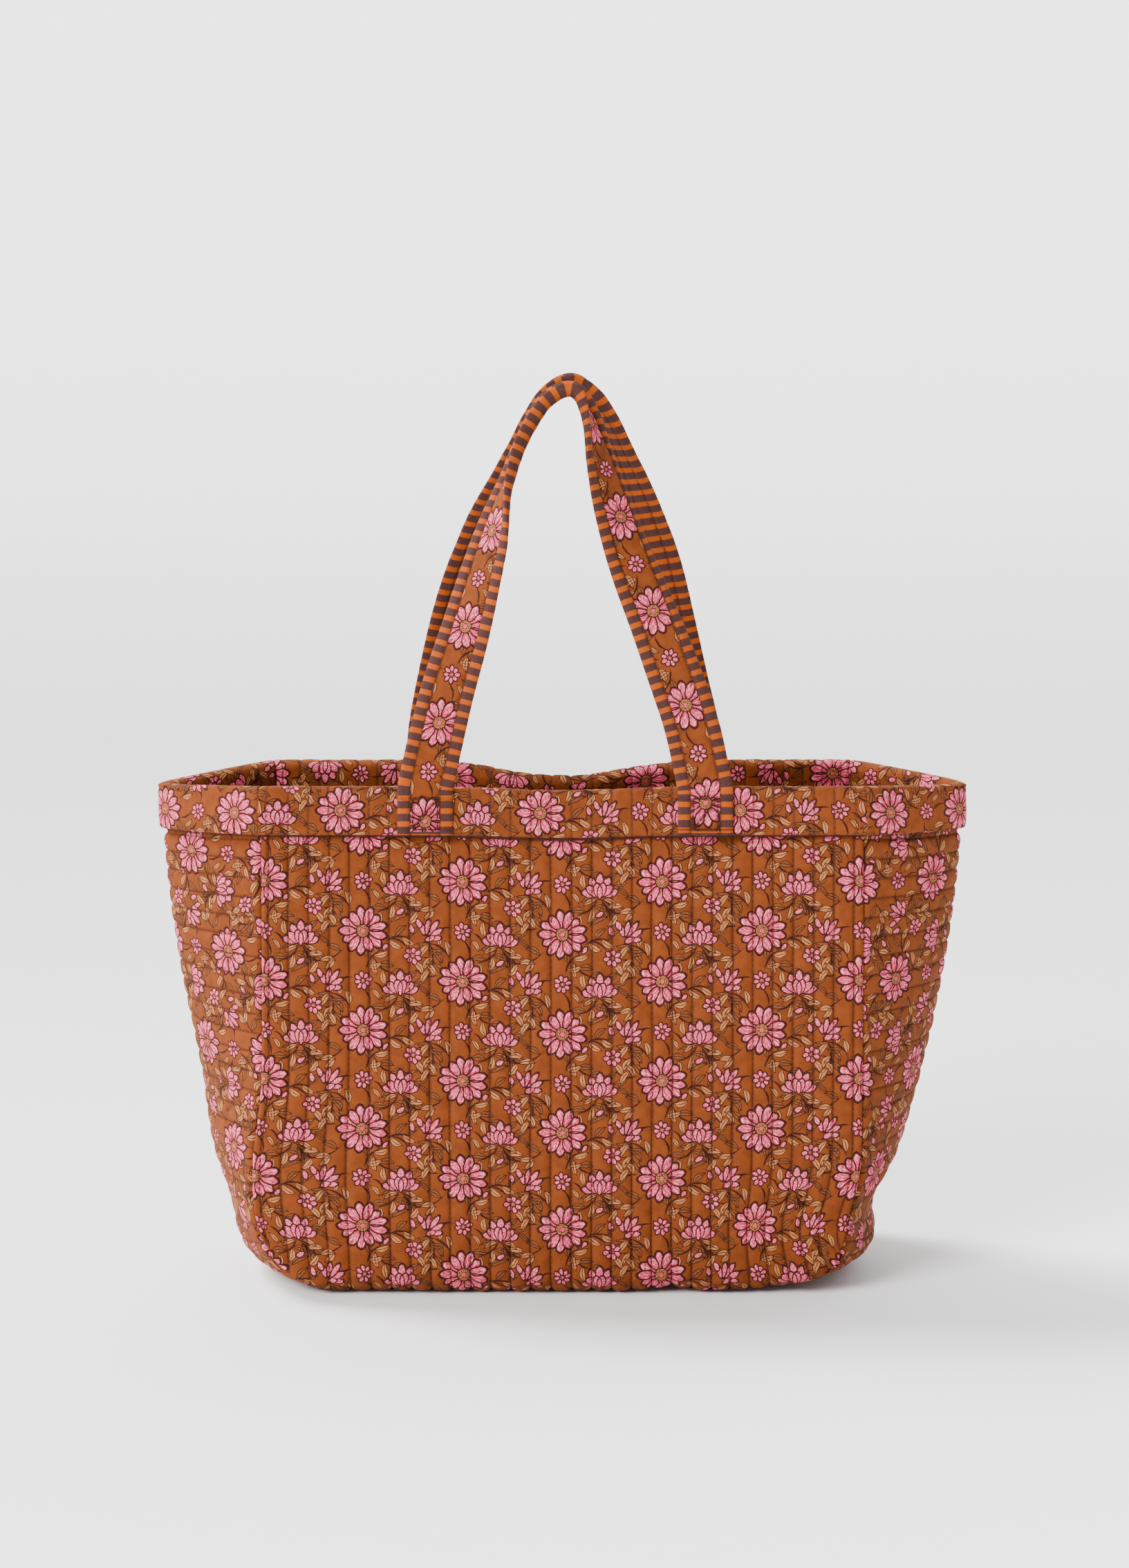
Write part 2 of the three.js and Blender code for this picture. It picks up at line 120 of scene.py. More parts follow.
def add_camera():
    data = bpy.data.cameras.new("camera")
    data.lens, data.sensor_width = CAMERA_LENS, 36.0
    camera = place("camera", data)
    back = Vector((0, -math.cos(CAMERA_TILT), math.sin(CAMERA_TILT)))
    camera.location = CAMERA_AIM + back * CAMERA_DISTANCE
    camera.rotation_mode = "QUATERNION"
    camera.rotation_quaternion = (-back).to_track_quat("-Z", "Y")
    bpy.context.scene.camera = camera


add_camera()

# ---- The bag's surface, at the middle of the quilt


def smoothstep(low, high, value):
    t = np.clip((value - low) / (high - low), 0, 1)
    return t * t * (3 - 2 * t)


def hem_height(x):
    past = np.clip(np.abs(x) - FLAT_HALF, 0, CORNER_R)
    return CORNER_Z - np.sqrt(CORNER_R**2 - past**2)


def hem_inset(x, height):
    reach = HEM_R * np.clip((PANEL_HALF - np.abs(x)) / CORNER_R, 0, 1) ** HEM_FADE
    return HEM_R - np.sqrt(HEM_R**2 - np.maximum(0, reach - height) ** 2)


def half_depth(z):
    up = np.clip(z / RIM_Z, 0, 1)
    return BASE_HALF_DEPTH - (BASE_HALF_DEPTH - RIM_HALF_DEPTH) * up**DEPTH_POWER


def panel_point(side, x, z):
    up = np.clip(z / RIM_Z, 0, 1)
    belly = BELLY * (1 - (x / PANEL_HALF) ** 2) * np.sin(np.pi * up)
    inset = hem_inset(x, np.maximum(0, z - hem_height(x)))
    sag = np.exp(-((x / SAG_WIDTH) ** 2)) * up**SAG_POWER
    dip, lean = SAG[side]
    y = side * (half_depth(z) + belly - inset - lean * sag)
    return np.stack(np.broadcast_arrays(x, y, z - dip * sag), -1)


def gusset_round(up, t):
    return 1 - np.abs(t) ** (GUSSET_ROUND - GUSSET_SHARPEN * up)


def gusset_point(end, z, t):
    up = np.clip(z / RIM_Z, 0, 1)
    half = np.full(np.shape(z), PANEL_HALF)
    front, back = panel_point(-1, half, z), panel_point(1, half, z)
    mid = front + (back - front) * ((t + 1) / 2)[..., None]
    bulge = GUSSET_BULGE_BASE + GUSSET_BULGE * np.sin(np.pi / 2 * up) ** GUSSET_POWER
    rounded = gusset_round(up, t)
    x = end * (PANEL_HALF + bulge * rounded)
    return np.stack([x, mid[..., 1], mid[..., 2] - TIP_DROOP * up**3 * rounded], -1)


FOOT = gusset_point(1, np.array(CORNER_Z), np.array(0.0))


def base_point(q, t):
    along = np.minimum(STRIP_HALF, np.abs(q) * STRIP_HALF)
    end = np.where(q < 0, -1.0, 1.0)
    angle = np.maximum(0, along - FLAT_HALF) / CORNER_R
    sin, cos = np.sin(angle), np.maximum(0, np.cos(angle))
    flat = np.minimum(along, FLAT_HALF)
    seam_x, seam_z = flat + CORNER_R * sin, BASE_Z + CORNER_R * (1 - cos)
    mid_x = flat + (FOOT[0] - FLAT_HALF) * sin**FOOT_ROUND
    mid_z = BASE_Z + (FOOT[2] - BASE_Z) * (1 - cos**FOOT_ROUND)
    rounded = gusset_round(CORNER_Z / RIM_Z, t)
    y = t * panel_point(1, np.minimum(seam_x, PANEL_HALF), seam_z)[..., 1]
    return np.stack(
        [end * (seam_x + (mid_x - seam_x) * rounded), y, seam_z + (mid_z - seam_z) * rounded], -1
    )


def strip_point(s, t):
    """The whole gusset strip: s is the length along its seam from the middle of the base."""
    low = base_point(np.clip(s / STRIP_HALF, -1, 1), t)
    height = CORNER_Z + np.maximum(0, np.abs(s) - STRIP_HALF)
    high = gusset_point(np.where(s < 0, -1.0, 1.0), height, t)
    return np.where((np.abs(s) > STRIP_HALF)[..., None], high, low)


def hump(value, middle, reach):
    return np.exp(-(((value - middle) / reach) ** 2))


HEM_LIFT = 1.5  # the base curves up to its seams
LEFT_SPREAD, RIGHT_TUCK, RIGHT_RISE, NOTCH_RISE = 8.0, 10.5, 5.0, 3.0
SPREAD_AT, TUCK_AT = (88, 48), (50, 30)  # each one's middle height, and how far it reaches from there
NOTCH_AT = (80, 16)  # the same, along x


def settle(points):
    """The filled bag as it stands: its left foot spreads and its right corner tucks in and lifts."""
    x, y, z = np.moveaxis(points, -1, 0)
    spread = -LEFT_SPREAD * hump(z, *SPREAD_AT) * smoothstep(110, 215, -x)
    tuck = -RIGHT_TUCK * hump(z, *TUCK_AT) * smoothstep(90, 215, x)
    rise = hump(z, 0, 26) * (RIGHT_RISE * smoothstep(110, 190, x) + NOTCH_RISE * hump(x, *NOTCH_AT))
    rise = rise + HEM_LIFT * hump(z, 0, 18) * smoothstep(48, 88, np.abs(y))
    return np.stack([x + spread + tuck, y, z + rise], -1)


# ---- Grids and meshes


def grid_normals(points, flip=1.0):
    du = np.gradient(points, axis=0)
    dv = np.gradient(points, axis=1)
    n = np.cross(du, dv) * flip
    return n / np.maximum(np.linalg.norm(n, axis=-1, keepdims=True), 1e-9)


def finish_mesh(mesh, name, corners, uvs, seams, materials):
    """Gives a mesh its materials and its coordinates, and puts it in the scene. uvs are millimetres
    of cloth, and seams each vertex's distance from the nearest quilting and its length along it."""
    for layer_name, values in (("cloth", uvs), ("seams", seams)):
        if values is not None:
            layer = mesh.uv_layers.new(name=layer_name)
            layer.data.foreach_set("uv", (np.asarray(values, float) * MM)[corners].ravel())
    mesh.polygons.foreach_set("use_smooth", np.ones(len(mesh.polygons), bool))
    for material in materials:
        mesh.materials.append(material)
    mesh.validate()
    return place(name, mesh)


def add_mesh(name, vertices, faces, uvs, seams, materials):
    """A smooth mesh whose faces all have the same number of corners."""
    mesh = bpy.data.meshes.new(name)
    mesh.vertices.add(len(vertices))
    mesh.vertices.foreach_set("co", (np.asarray(vertices, float) * MM).ravel())
    corners = np.asarray(faces, np.int32).ravel()
    mesh.loops.add(corners.size)
    mesh.loops.foreach_set("vertex_index", corners)
    mesh.polygons.add(len(faces))
    mesh.polygons.foreach_set("loop_start", np.arange(0, corners.size, faces.shape[1]))
    mesh.update(calc_edges=True)
    return finish_mesh(mesh, name, corners, uvs, seams, materials)


def add_poly_mesh(name, vertices, faces, uvs, seams, materials):
    """A smooth mesh of mixed faces, with its faces turned to face out."""
    mesh = bpy.data.meshes.new(name)
    mesh.from_pydata((np.asarray(vertices) * MM).tolist(), [], faces)
    shell = bmesh.new()
    shell.from_mesh(mesh)
    bmesh.ops.recalc_face_normals(shell, faces=shell.faces)
    shell.to_mesh(mesh)
    shell.free()
    corners = np.zeros(len(mesh.loops), np.int32)
    mesh.loops.foreach_get("vertex_index", corners)
    if seams is None:
        seams = np.full((len(vertices), 2), NO_SEAM)
    return finish_mesh(mesh, name, corners, uvs, seams, materials)


def grid_faces(rows, columns, start=0, closed=False):
    i, j = np.meshgrid(np.arange(rows - 1), np.arange(columns if closed else columns - 1), indexing="ij")
    k = (j + 1) % columns
    a, b = i * columns + j, i * columns + k
    return np.stack([a, b, b + columns, a + columns], -1).reshape(-1, 4) + start


def slab(outer, inner):
    """Vertices and faces of a closed sheet between two grids of points."""
    rows, columns = outer.shape[:2]
    count = rows * columns
    top = grid_faces(rows, columns)
    bottom = grid_faces(rows, columns, count)[:, ::-1]
    ring = np.concatenate([
        np.arange(columns - 1), np.arange(rows - 1) * columns + columns - 1,
        count - 1 - np.arange(columns - 1), (rows - 1 - np.arange(rows - 1)) * columns,
    ])
    after = np.roll(ring, -1)
    sides = np.stack([after, ring, ring + count, after + count], -1)
    vertices = np.concatenate([outer.reshape(-1, 3), inner.reshape(-1, 3)])
    return vertices, np.concatenate([top, bottom, sides])


def face_out(vertices, faces):
    """The faces, all turned if the mesh they close is inside out."""
    a, b, c = (vertices[faces[:, k]] for k in range(3))
    volume = np.einsum("ij,ij->", a, np.cross(b, c))
    if faces.shape[1] == 4:
        d = vertices[faces[:, 3]]
        volume += np.einsum("ij,ij->", a, np.cross(c, d))
    return faces[:, ::-1] if volume < 0 else faces


def noise(shape, scale, seed):
    """Smooth random values from -1 to 1 on a grid, with lumps about scale cells across."""
    rng = np.random.default_rng(seed)
    coarse = rng.uniform(-1, 1, [max(2, int(n / s) + 3) for n, s in zip(shape, scale)])
    out = coarse
    for axis, (n, s) in enumerate(zip(shape, scale)):
        at = np.arange(n) / s
        i = at.astype(int)
        f = at - i
        f = f * f * (3 - 2 * f)
        f = f.reshape([-1 if k == axis else 1 for k in range(2)])
        i = np.minimum(i, out.shape[axis] - 2)
        out = np.take(out, i, axis) * (1 - f) + np.take(out, i + 1, axis) * f
    return out


# ---- Materials


class Graph:
    """Short calls for a node tree's maths."""

    def __init__(self, tree):
        self.tree = tree

    def node(self, kind, inputs=(), **settings):
        node = self.tree.nodes.new(kind)
        for key, value in settings.items():
            setattr(node, key, value)
        for key, value in dict(inputs).items():
            self.plug(node.inputs[key], value)
        return node

    def plug(self, socket, value):
        if isinstance(value, bpy.types.NodeSocket):
            self.tree.links.new(value, socket)
        elif value is not None:
            socket.default_value = value

    def math(self, operation, *values):
        return self.node("ShaderNodeMath", enumerate(values), operation=operation).outputs[0]

    def vector(self, operation, *values):
        return self.node("ShaderNodeVectorMath", enumerate(values), operation=operation).outputs["Vector"]

    def triple(self, value):
        return self.node("ShaderNodeCombineXYZ", enumerate([value] * 3)).outputs[0]

    def split(self, vector):
        return self.node("ShaderNodeSeparateXYZ", {0: vector}).outputs

    def least(self, vector):
        x, y, z = self.split(vector)
        return self.math("MINIMUM", self.math("MINIMUM", x, y), z)

    def step(self, value, low, high):
        """0 below low and 1 above high, smooth between. low may be the larger."""
        inputs = enumerate((value, low, high))
        return self.node("ShaderNodeMapRange", inputs, interpolation_type="SMOOTHSTEP").outputs[0]

    def mix(self, factor, a, b):
        return self.node("ShaderNodeMix", {"Factor": factor, 6: a, 7: b}, data_type="RGBA").outputs[2]

    def noise(self, vector, scale, detail=2.0, rough=0.5, distortion=0.0, output="Fac"):
        inputs = {"Vector": vector, "Scale": scale, "Detail": detail, "Roughness": rough,
                  "Distortion": distortion}
        return self.node("ShaderNodeTexNoise", inputs).outputs[output]

    def bump(self, shader, height, strength, distance):
        inputs = {"Strength": strength, "Distance": distance, "Height": height}
        self.plug(shader.inputs["Normal"], self.node("ShaderNodeBump", inputs).outputs[0])


# The print's drawing, in millimetres, across the cloth and up it. Columns of daisies stand half a
# repeat apart, with a rosette midway down each column, and a lotus and a spray in the two gaps.
COLUMNS = 72.0
REPEAT_A = (COLUMNS, COLUMNS / 2)
REPEAT_B = (0.0, COLUMNS)
STEM = 1.3
INK = 0.34  # half the width of an outline
LEAF_INK = 0.27
BLEED = 0.2  # how soft an edge is
LEAF_SPREAD = math.radians(38)


def petal(x0, y0, x1, y1, width, bow=0.0):
    """A petal from its base to its tip, whose middle stands out sideways by bow: its middle, half
    length, half width, direction, and bow in half widths."""
    angle = math.atan2(y1 - y0, x1 - x0)
    x, y = (x0 + x1) / 2 - bow * math.sin(angle), (y0 + y1) / 2 + bow * math.cos(angle)
    return x, y, math.hypot(x1 - x0, y1 - y0) / 2, width / 2, angle, 2 * bow / width


def flower(x, y, count, start, end, width, turn, picked=None):
    """A ring of petals. Every third is a little shorter."""
    out = []
    for k in range(count):
        if picked is not None and k % 2 != picked:
            continue
        a = math.radians(turn + 360 * k / count)
        tip = end * (0.9 if k % 3 == 1 else 1.0)
        c, s = math.cos(a), math.sin(a)
        out.append(petal(x + start * c, y + start * s, x + tip * c, y + tip * s, width))
    return out


def sprig(x0, y0, x1, y1, bow, count, length=11.5, width=4.3):
    """A curved stem with leaves on alternate sides."""
    heading = math.atan2(y1 - y0, x1 - x0)
    leaves = []
    for k in range(count):
        share = (k + 0.6) / count
        out = bow * (1 - (2 * share - 1) ** 2)
        x = x0 + (x1 - x0) * share - out * math.sin(heading)
        y = y0 + (y1 - y0) * share + out * math.cos(heading)
        side = 1 if k % 2 else -1
        a = heading + side * LEAF_SPREAD
        tip = (x + length * math.cos(a), y + length * math.sin(a))
        leaves.append(petal(x, y, *tip, width, side * 0.12 * length))
    return petal(x0, y0, x1, y1, STEM, bow), leaves


SPRIGS = [
    sprig(26, 26, 10, 14, 3, 4), sprig(28, 25, 43, 14, -3, 4), sprig(-13, -12, -42, -20, 5, 5),
    sprig(-9, 15, -24, 27, -3, 4), sprig(-17, 4, -34, 9, 3, 4), sprig(16, -8, 35, -6, 3, 4),
    sprig(7, -17, 22, -31, -3, 4), sprig(2, 43, 14, 58, 3, 4), sprig(47, -7, 48, -30, 3, 5),
]
STEMS = [stem for stem, _ in SPRIGS] + [
    petal(27, 25, 34, 5, STEM, 3), petal(0, 30, 5, 17, STEM, 2), petal(32, -13, 17, -6, STEM, -3),
    petal(-27, -45, -16, -62, STEM, 3), petal(45, -6, 38, -13, STEM, 2), petal(-7, 38, -20, 32, STEM, -3),
    petal(-45, -11, -33, -27, STEM, 3), petal(7, 35, 14, 27, STEM, 2), petal(-18, 10, -30, 17, STEM, -2),
]
LEAVES = [leaf for _, leaves in SPRIGS for leaf in leaves]
DARK_LEAVES = LEAVES[0::2] + [petal(20, 6, 33, 12, 4.6, 2.0), petal(-24, -10, -32, -3, 3.0)]
TAN_LEAVES = LEAVES[1::2] + [petal(25, 25, 15, 20, 3.4, -1), petal(29, 25, 39, 20, 3.4, 1),
                             petal(6, -42, 12, -50, 3.2, 1)]
LOTUS_AT = (27.0, 26.0)
SPRAY_AT = (45.0, -6.0)
ROSETTES_AT = ((0.0, 36.0), (36.0, -18.0))


def fan(x, y, start, blades, width):
    """Petals that spread from a point: blades are (direction in degrees, length)."""
    out = []
    for turn, length in blades:
        c, s = math.cos(math.radians(turn)), math.sin(math.radians(turn))
        out.append(petal(x + start * c, y + start * s, x + length * c, y + length * s, width))
    return out


LOTUS_BACK = fan(*LOTUS_AT, 3.0, [(90, 18.0), (20, 14.0), (160, 14.0), (64, 16.5), (116, 16.5)], 6.0)
LOTUS_FRONT = fan(*LOTUS_AT, 1.0, [(42, 13.0), (138, 13.0)], 6.4)
LOTUS_LIP = fan(*LOTUS_AT, -1.0, [(76, 11.0), (104, 11.0)], 6.6)
SPRAYS = fan(*SPRAY_AT, 3.0, [(55, 17.0), (31, 15.0), (79, 15.0), (5, 12.0), (105, 12.0)], 4.4)
BUDS = [
    petal(-20, 32, -27, 29, 4.8), petal(34, 5, 36, -2, 4.4), petal(-33, -27, -30, -34, 4.4),
    petal(-42, -20, -48, -24, 4.2), petal(14, 58, 18, 62.5, 3.8),
]
ROSETTES = flower(*ROSETTES_AT[0], 8, 1.6, 7.0, 3.5, 12) + flower(*ROSETTES_AT[1], 7, 1.6, 6.8, 4.0, 30)
POINTED = 0.35  # how far a petal is from an oval to a pointed leaf
DAISY = (3.6, 18.0, 7.2, 14.0)
DAISY_BACK = flower(0, 0, 13, *DAISY, picked=1)
DAISY_FRONT = flower(0, 0, 13, *DAISY, picked=0)
DAISY_EYE = 4.7


def disc(x, y, radius):
    return x, y, radius, radius, 0.0, 0.0


DISCS = [disc(0, 0, DAISY_EYE)] + [disc(*at, 1.9) for at in ROSETTES_AT]
CORES = [disc(0, 0, 1.8)] + [disc(*at, 1.1) for at in ROSETTES_AT]


class Motifs:
    """Distances to motifs that repeat on the print's lattice, three motifs to a node."""

    def __init__(self, graph, cloth):
        self.g = graph
        (ax, ay), (bx, by) = REPEAT_A, REPEAT_B
        det = ax * by - ay * bx
        self.inverse = ((by / det, -bx / det), (-ay / det, ax / det))
        x, y, _ = graph.split(cloth)
        self.index = []
        for row in self.inverse:
            part = graph.math("MULTIPLY", x, row[0] / MM)
            self.index.append(graph.triple(graph.math("MULTIPLY_ADD", y, row[1] / MM, part)))

    def local(self, three):
        """The place in each motif's own axes, with its half length and half width as 1."""
        g = self.g
        fractions = []
        for row, index in zip(self.inverse, self.index):
            shift = [0.5 - (row[0] * m[0] + row[1] * m[1]) for m in three]
            fractions.append(g.vector("FRACTION", g.vector("ADD", index, shift)))
        out = []
        for across in (False, True):
            rows = []
            for vx, vy in (REPEAT_A, REPEAT_B):
                row = []
                for _, _, length, width, angle, _ in three:
                    c, s = math.cos(angle), math.sin(angle)
                    row.append((vy * c - vx * s) / width if across else (vx * c + vy * s) / length)
                rows.append(row)
            start = [-0.5 * (a + b) for a, b in zip(*rows)]
            part = g.vector("MULTIPLY_ADD", fractions[0], rows[0], start)
            out.append(g.vector("MULTIPLY_ADD", fractions[1], rows[1], part))
        return out

    def distances(self, motifs, shape):
        """(signed distance, distance to the nearest inked line), in millimetres. A leaf is pointed
        and has a midrib, and a petal is round at its tip and narrow at its base."""
        g = self.g
        fill = ink = None
        padded = list(motifs) + [motifs[-1]] * (-len(motifs) % 3)
        for k in range(0, len(padded), 3):
            three = padded[k : k + 3]
            x, y = self.local(three)
            squared = g.vector("MULTIPLY", x, x)
            bows = [m[5] for m in three]
            if any(bows):
                y = g.vector("MULTIPLY_ADD", squared, bows, y)
            width = [m[3] for m in three]
            if shape == "leaf":
                side = g.vector("ABSOLUTE", y)
                away = g.vector("MULTIPLY_ADD", g.vector("ADD", squared, side), width, [-w for w in width])
            else:
                if shape == "petal":
                    y = g.vector("MULTIPLY", y, g.vector("MULTIPLY_ADD", x, (-0.3,) * 3, (1.3,) * 3))
                half = [w / 2 for w in width]
                if shape == "petal":  # a little pointed at its tip
                    side = g.vector("ABSOLUTE", y)
                    squared = g.vector("MULTIPLY_ADD", side, (POINTED,) * 3, squared)
                    y = g.vector("MULTIPLY", y, (1 - POINTED,) * 3)
                ring = g.vector("MULTIPLY_ADD", y, y, squared)
                away = g.vector("MULTIPLY_ADD", ring, half, [-w for w in half])
            line = g.vector("ABSOLUTE", away)
            if shape == "leaf":
                rib = g.vector("MAXIMUM", g.vector("MULTIPLY", side, width), away)
                line = g.vector("MINIMUM", line, rib)
            fill = away if fill is None else g.vector("MINIMUM", fill, away)
            ink = line if ink is None else g.vector("MINIMUM", ink, line)
        return g.least(fill), g.least(ink)

    def polar(self):
        """The place about the nearest daisy, as (angle in sixths of a radian, radius in mm)."""
        g = self.g
        x, y = self.local([disc(0, 0, 1.0)] * 3)
        x, y = g.split(x)[0], g.split(y)[0]
        radius = g.math("SQRT", g.math("ADD", g.math("MULTIPLY", x, x), g.math("MULTIPLY", y, y)))
        return g.math("MULTIPLY", g.math("ARCTAN2", y, x), 6.0), radius


# Base colours as linear values, for cloth in strong light.
GROUND, GROUND_DARK = (0.205, 0.0470, 0.0103, 1), (0.155, 0.0358, 0.0083, 1)
PINK, PALE, DEEP = (0.58, 0.055, 0.108, 1), (0.92, 0.29, 0.38, 1), (0.33, 0.022, 0.044, 1)
# The dark ink colour of the outlines also serves as the painted shade along lines of quilting.
OUTLINE_AND_SHADE = (0.030, 0.0085, 0.0062, 1)
LEAF, TAN = (0.150, 0.047, 0.0140, 1), (0.44, 0.170, 0.060, 1)
ORANGE, ORANGE_DARK = (0.42, 0.074, 0.0050, 1), (0.32, 0.055, 0.0040, 1)
AUBERGINE, AUBERGINE_LIGHT = (0.052, 0.0200, 0.0180, 1), (0.085, 0.036, 0.032, 1)
THREAD_DARK, THREAD_LIGHT = (0.035, 0.011, 0.009, 1), (0.075, 0.024, 0.016, 1)
WADDING_LIGHT, WADDING_DARK = (0.34, 0.32, 0.27, 1), (0.24, 0.22, 0.18, 1)


def print_group():
    """A node group that turns cloth coordinates into the print's colour."""
    tree = bpy.data.node_groups.new("floral_print", "ShaderNodeTree")
    tree.interface.new_socket("Cloth", in_out="INPUT", socket_type="NodeSocketVector")
    tree.interface.new_socket("Color", in_out="OUTPUT", socket_type="NodeSocketColor")
    g = Graph(tree)
    cloth = g.node("NodeGroupInput").outputs[0]
    wobble = g.noise(cloth, 330, 1, output="Color")
    shift = g.vector("MULTIPLY_ADD", wobble, (0.0010,) * 3, (-0.0005,) * 3)
    motifs = Motifs(g, g.vector("ADD", cloth, shift))

    streak = g.noise(cloth, 850, 3, 0.6)
    colour = g.mix(g.step(g.noise(cloth, 110, 4), 0.3, 0.7), GROUND, GROUND_DARK)

    def lay(colour, drawn, shape, paint, ink=INK):
        fill, line = motifs.distances(drawn, shape)
        colour = g.mix(g.step(fill, BLEED, -BLEED), colour, paint)
        return g.mix(g.step(line, ink + BLEED, ink - BLEED), colour, OUTLINE_AND_SHADE)

    stems, _ = motifs.distances(STEMS, "leaf")
    colour = g.mix(g.step(stems, 0.25, -0.1), colour, OUTLINE_AND_SHADE)
    colour = lay(colour, DARK_LEAVES, "leaf", g.mix(g.step(streak, 0.56, 0.72), LEAF, TAN), LEAF_INK)
    colour = lay(colour, TAN_LEAVES, "leaf", g.mix(g.step(streak, 0.50, 0.75), TAN, GROUND), LEAF_INK)
    pink = g.mix(g.step(streak, 0.45, 0.68), PINK, PALE)
    pink = g.mix(g.step(streak, 0.42, 0.30), pink, DEEP)
    for drawn in (SPRAYS, LOTUS_BACK, LOTUS_FRONT, LOTUS_LIP, ROSETTES + BUDS):
        colour = lay(colour, drawn, "petal", pink)
    angle, radius = motifs.polar()
    spoke = g.node("ShaderNodeCombineXYZ", {0: angle, 1: g.math("MULTIPLY", radius, 0.16)})
    rays = g.noise(spoke.outputs[0], 1.9, 3, 0.65)
    daisy = g.mix(g.step(rays, 0.50, 0.62), PINK, PALE)
    daisy = g.mix(g.step(rays, 0.46, 0.38), daisy, DEEP)
    daisy = g.mix(g.math("MULTIPLY", g.step(radius, 9.5, 4.5), 0.7), daisy, DEEP)
    for drawn in (DAISY_BACK, DAISY_FRONT):
        colour = lay(colour, drawn, "petal", daisy, 0.46)
    eye = g.mix(g.step(g.noise(cloth, 1500, 1), 0.45, 0.55), TAN, OUTLINE_AND_SHADE)
    colour = lay(colour, DISCS, "disc", eye)
    colour = lay(colour, CORES, "disc", PINK, 0.15)
    g.plug(g.node("NodeGroupOutput").inputs[0], colour)
    return tree


SHEEN_TINT = (0.9, 0.45, 0.25, 1)


def new_material(name, roughness, sheen=0.0):
    material = bpy.data.materials.new(name)
    material.use_nodes = True
    g = Graph(material.node_tree)
    shader = material.node_tree.nodes["Principled BSDF"]
    settings = {
        "Roughness": roughness, "Sheen Weight": sheen, "Sheen Roughness": 0.5, "Sheen Tint": SHEEN_TINT,
        "Specular IOR Level": 0.06,
    }
    for key, value in settings.items():
        shader.inputs[key].default_value = value
    return material, g, shader


def cloth_vector(g):
    return g.node("ShaderNodeUVMap", uv_map="cloth").outputs[0]


def weave(g, cloth, pitch):
    """The height of a plain weave: threads that pass over and under each other."""
    x, y, _ = g.split(cloth)
    warp = g.math("SINE", g.math("MULTIPLY", x, 2 * math.pi / pitch))
    weft = g.math("SINE", g.math("MULTIPLY", y, 2 * math.pi / pitch))
    return g.math("MULTIPLY", warp, weft)


def stitched_and_shaded(g, colour):
    """(the colour with running stitches sunk along each line of quilting and painted shade along it, the
    stitches' mask)
    """
    away, along, _ = g.split(g.node("ShaderNodeUVMap", uv_map="seams").outputs[0])
    away = g.math("ABSOLUTE", away)
    # Painted shade: the colour darkens towards the ink within about 1.8 mm of each line of quilting, where
    # the cloth sinks.
    stitch_shade = g.math("MULTIPLY", g.step(away, 0.0018, 0.0003), 0.28)
    colour = g.mix(stitch_shade, colour, OUTLINE_AND_SHADE)
    dash = g.math("FRACT", g.math("DIVIDE", along, STITCH * MM))
    dash = g.math("MULTIPLY", g.step(dash, 0.62, 0.56), g.step(away, 0.00055, 0.0003))
    return g.mix(dash, colour, THREAD_LIGHT), dash


def finish_cloth(g, shader, cloth, colour, crumple_scale, pitch):
    """Stitches the cloth and paints shade along its lines of quilting, and gives it its weave and its small
    wrinkles.
    """
    colour, dash = stitched_and_shaded(g, colour)
    g.plug(shader.inputs["Base Color"], colour)
    crumple = g.noise(cloth, crumple_scale, 4, 0.6)
    height = g.math("MULTIPLY_ADD", crumple, 3.0, weave(g, cloth, pitch * MM))
    g.bump(shader, g.math("MULTIPLY_ADD", dash, 1.5, height), 0.45, 0.0004)


def print_material():
    material, g, shader = new_material("print", 0.85, 0.05)
    cloth = cloth_vector(g)
    group = g.node("ShaderNodeGroup", node_tree=print_group())
    g.plug(group.inputs[0], cloth)
    finish_cloth(g, shader, cloth, group.outputs[0], 230, 0.7)
    return material


def stripe_material():
    material, g, shader = new_material("stripes", 0.82, 0.05)
    cloth = cloth_vector(g)
    along = g.math("MULTIPLY_ADD", g.noise(cloth, 260, 2), 0.0005, g.split(cloth)[1])
    phase = g.math("FRACT", g.math("DIVIDE", along, STRIPE * MM))
    band = g.math("MULTIPLY", g.step(phase, 0.0, 0.05), g.step(phase, 0.64, 0.59))
    slub = g.noise(g.vector("MULTIPLY", cloth, (500, 2600, 0)), 1.0, 3, 0.7)
    warm = g.mix(g.step(slub, 0.35, 0.65), ORANGE, ORANGE_DARK)
    deep = g.mix(g.step(slub, 0.40, 0.75), AUBERGINE, AUBERGINE_LIGHT)
    finish_cloth(g, shader, cloth, g.mix(band, warm, deep), 300, 0.8)
    return material


def thread_material():
    material, g, shader = new_material("thread", 0.6)
    x, y, _ = g.split(cloth_vector(g))
    twist = g.math("SINE", g.math("MULTIPLY", g.math("ADD", x, y), 2 * math.pi / (0.5 * MM)))
    g.plug(shader.inputs["Base Color"], g.mix(g.step(twist, -0.6, 0.6), THREAD_DARK, THREAD_LIGHT))
    g.bump(shader, twist, 0.5, 0.0002)
    return material


def wadding_material():
    material, g, shader = new_material("wadding", 0.95, 0.3)
    at = g.node("ShaderNodeTexCoord").outputs["Object"]
    fibres = g.noise(at, 900, 5, 0.7, 1.5)
    g.plug(shader.inputs["Base Color"], g.mix(fibres, WADDING_LIGHT, WADDING_DARK))
    g.bump(shader, fibres, 0.8, 0.0008)
    return material


STITCH = 4.2
PRINT = print_material()
STRIPES = stripe_material()
THREAD = thread_material()
WADDING = wadding_material()

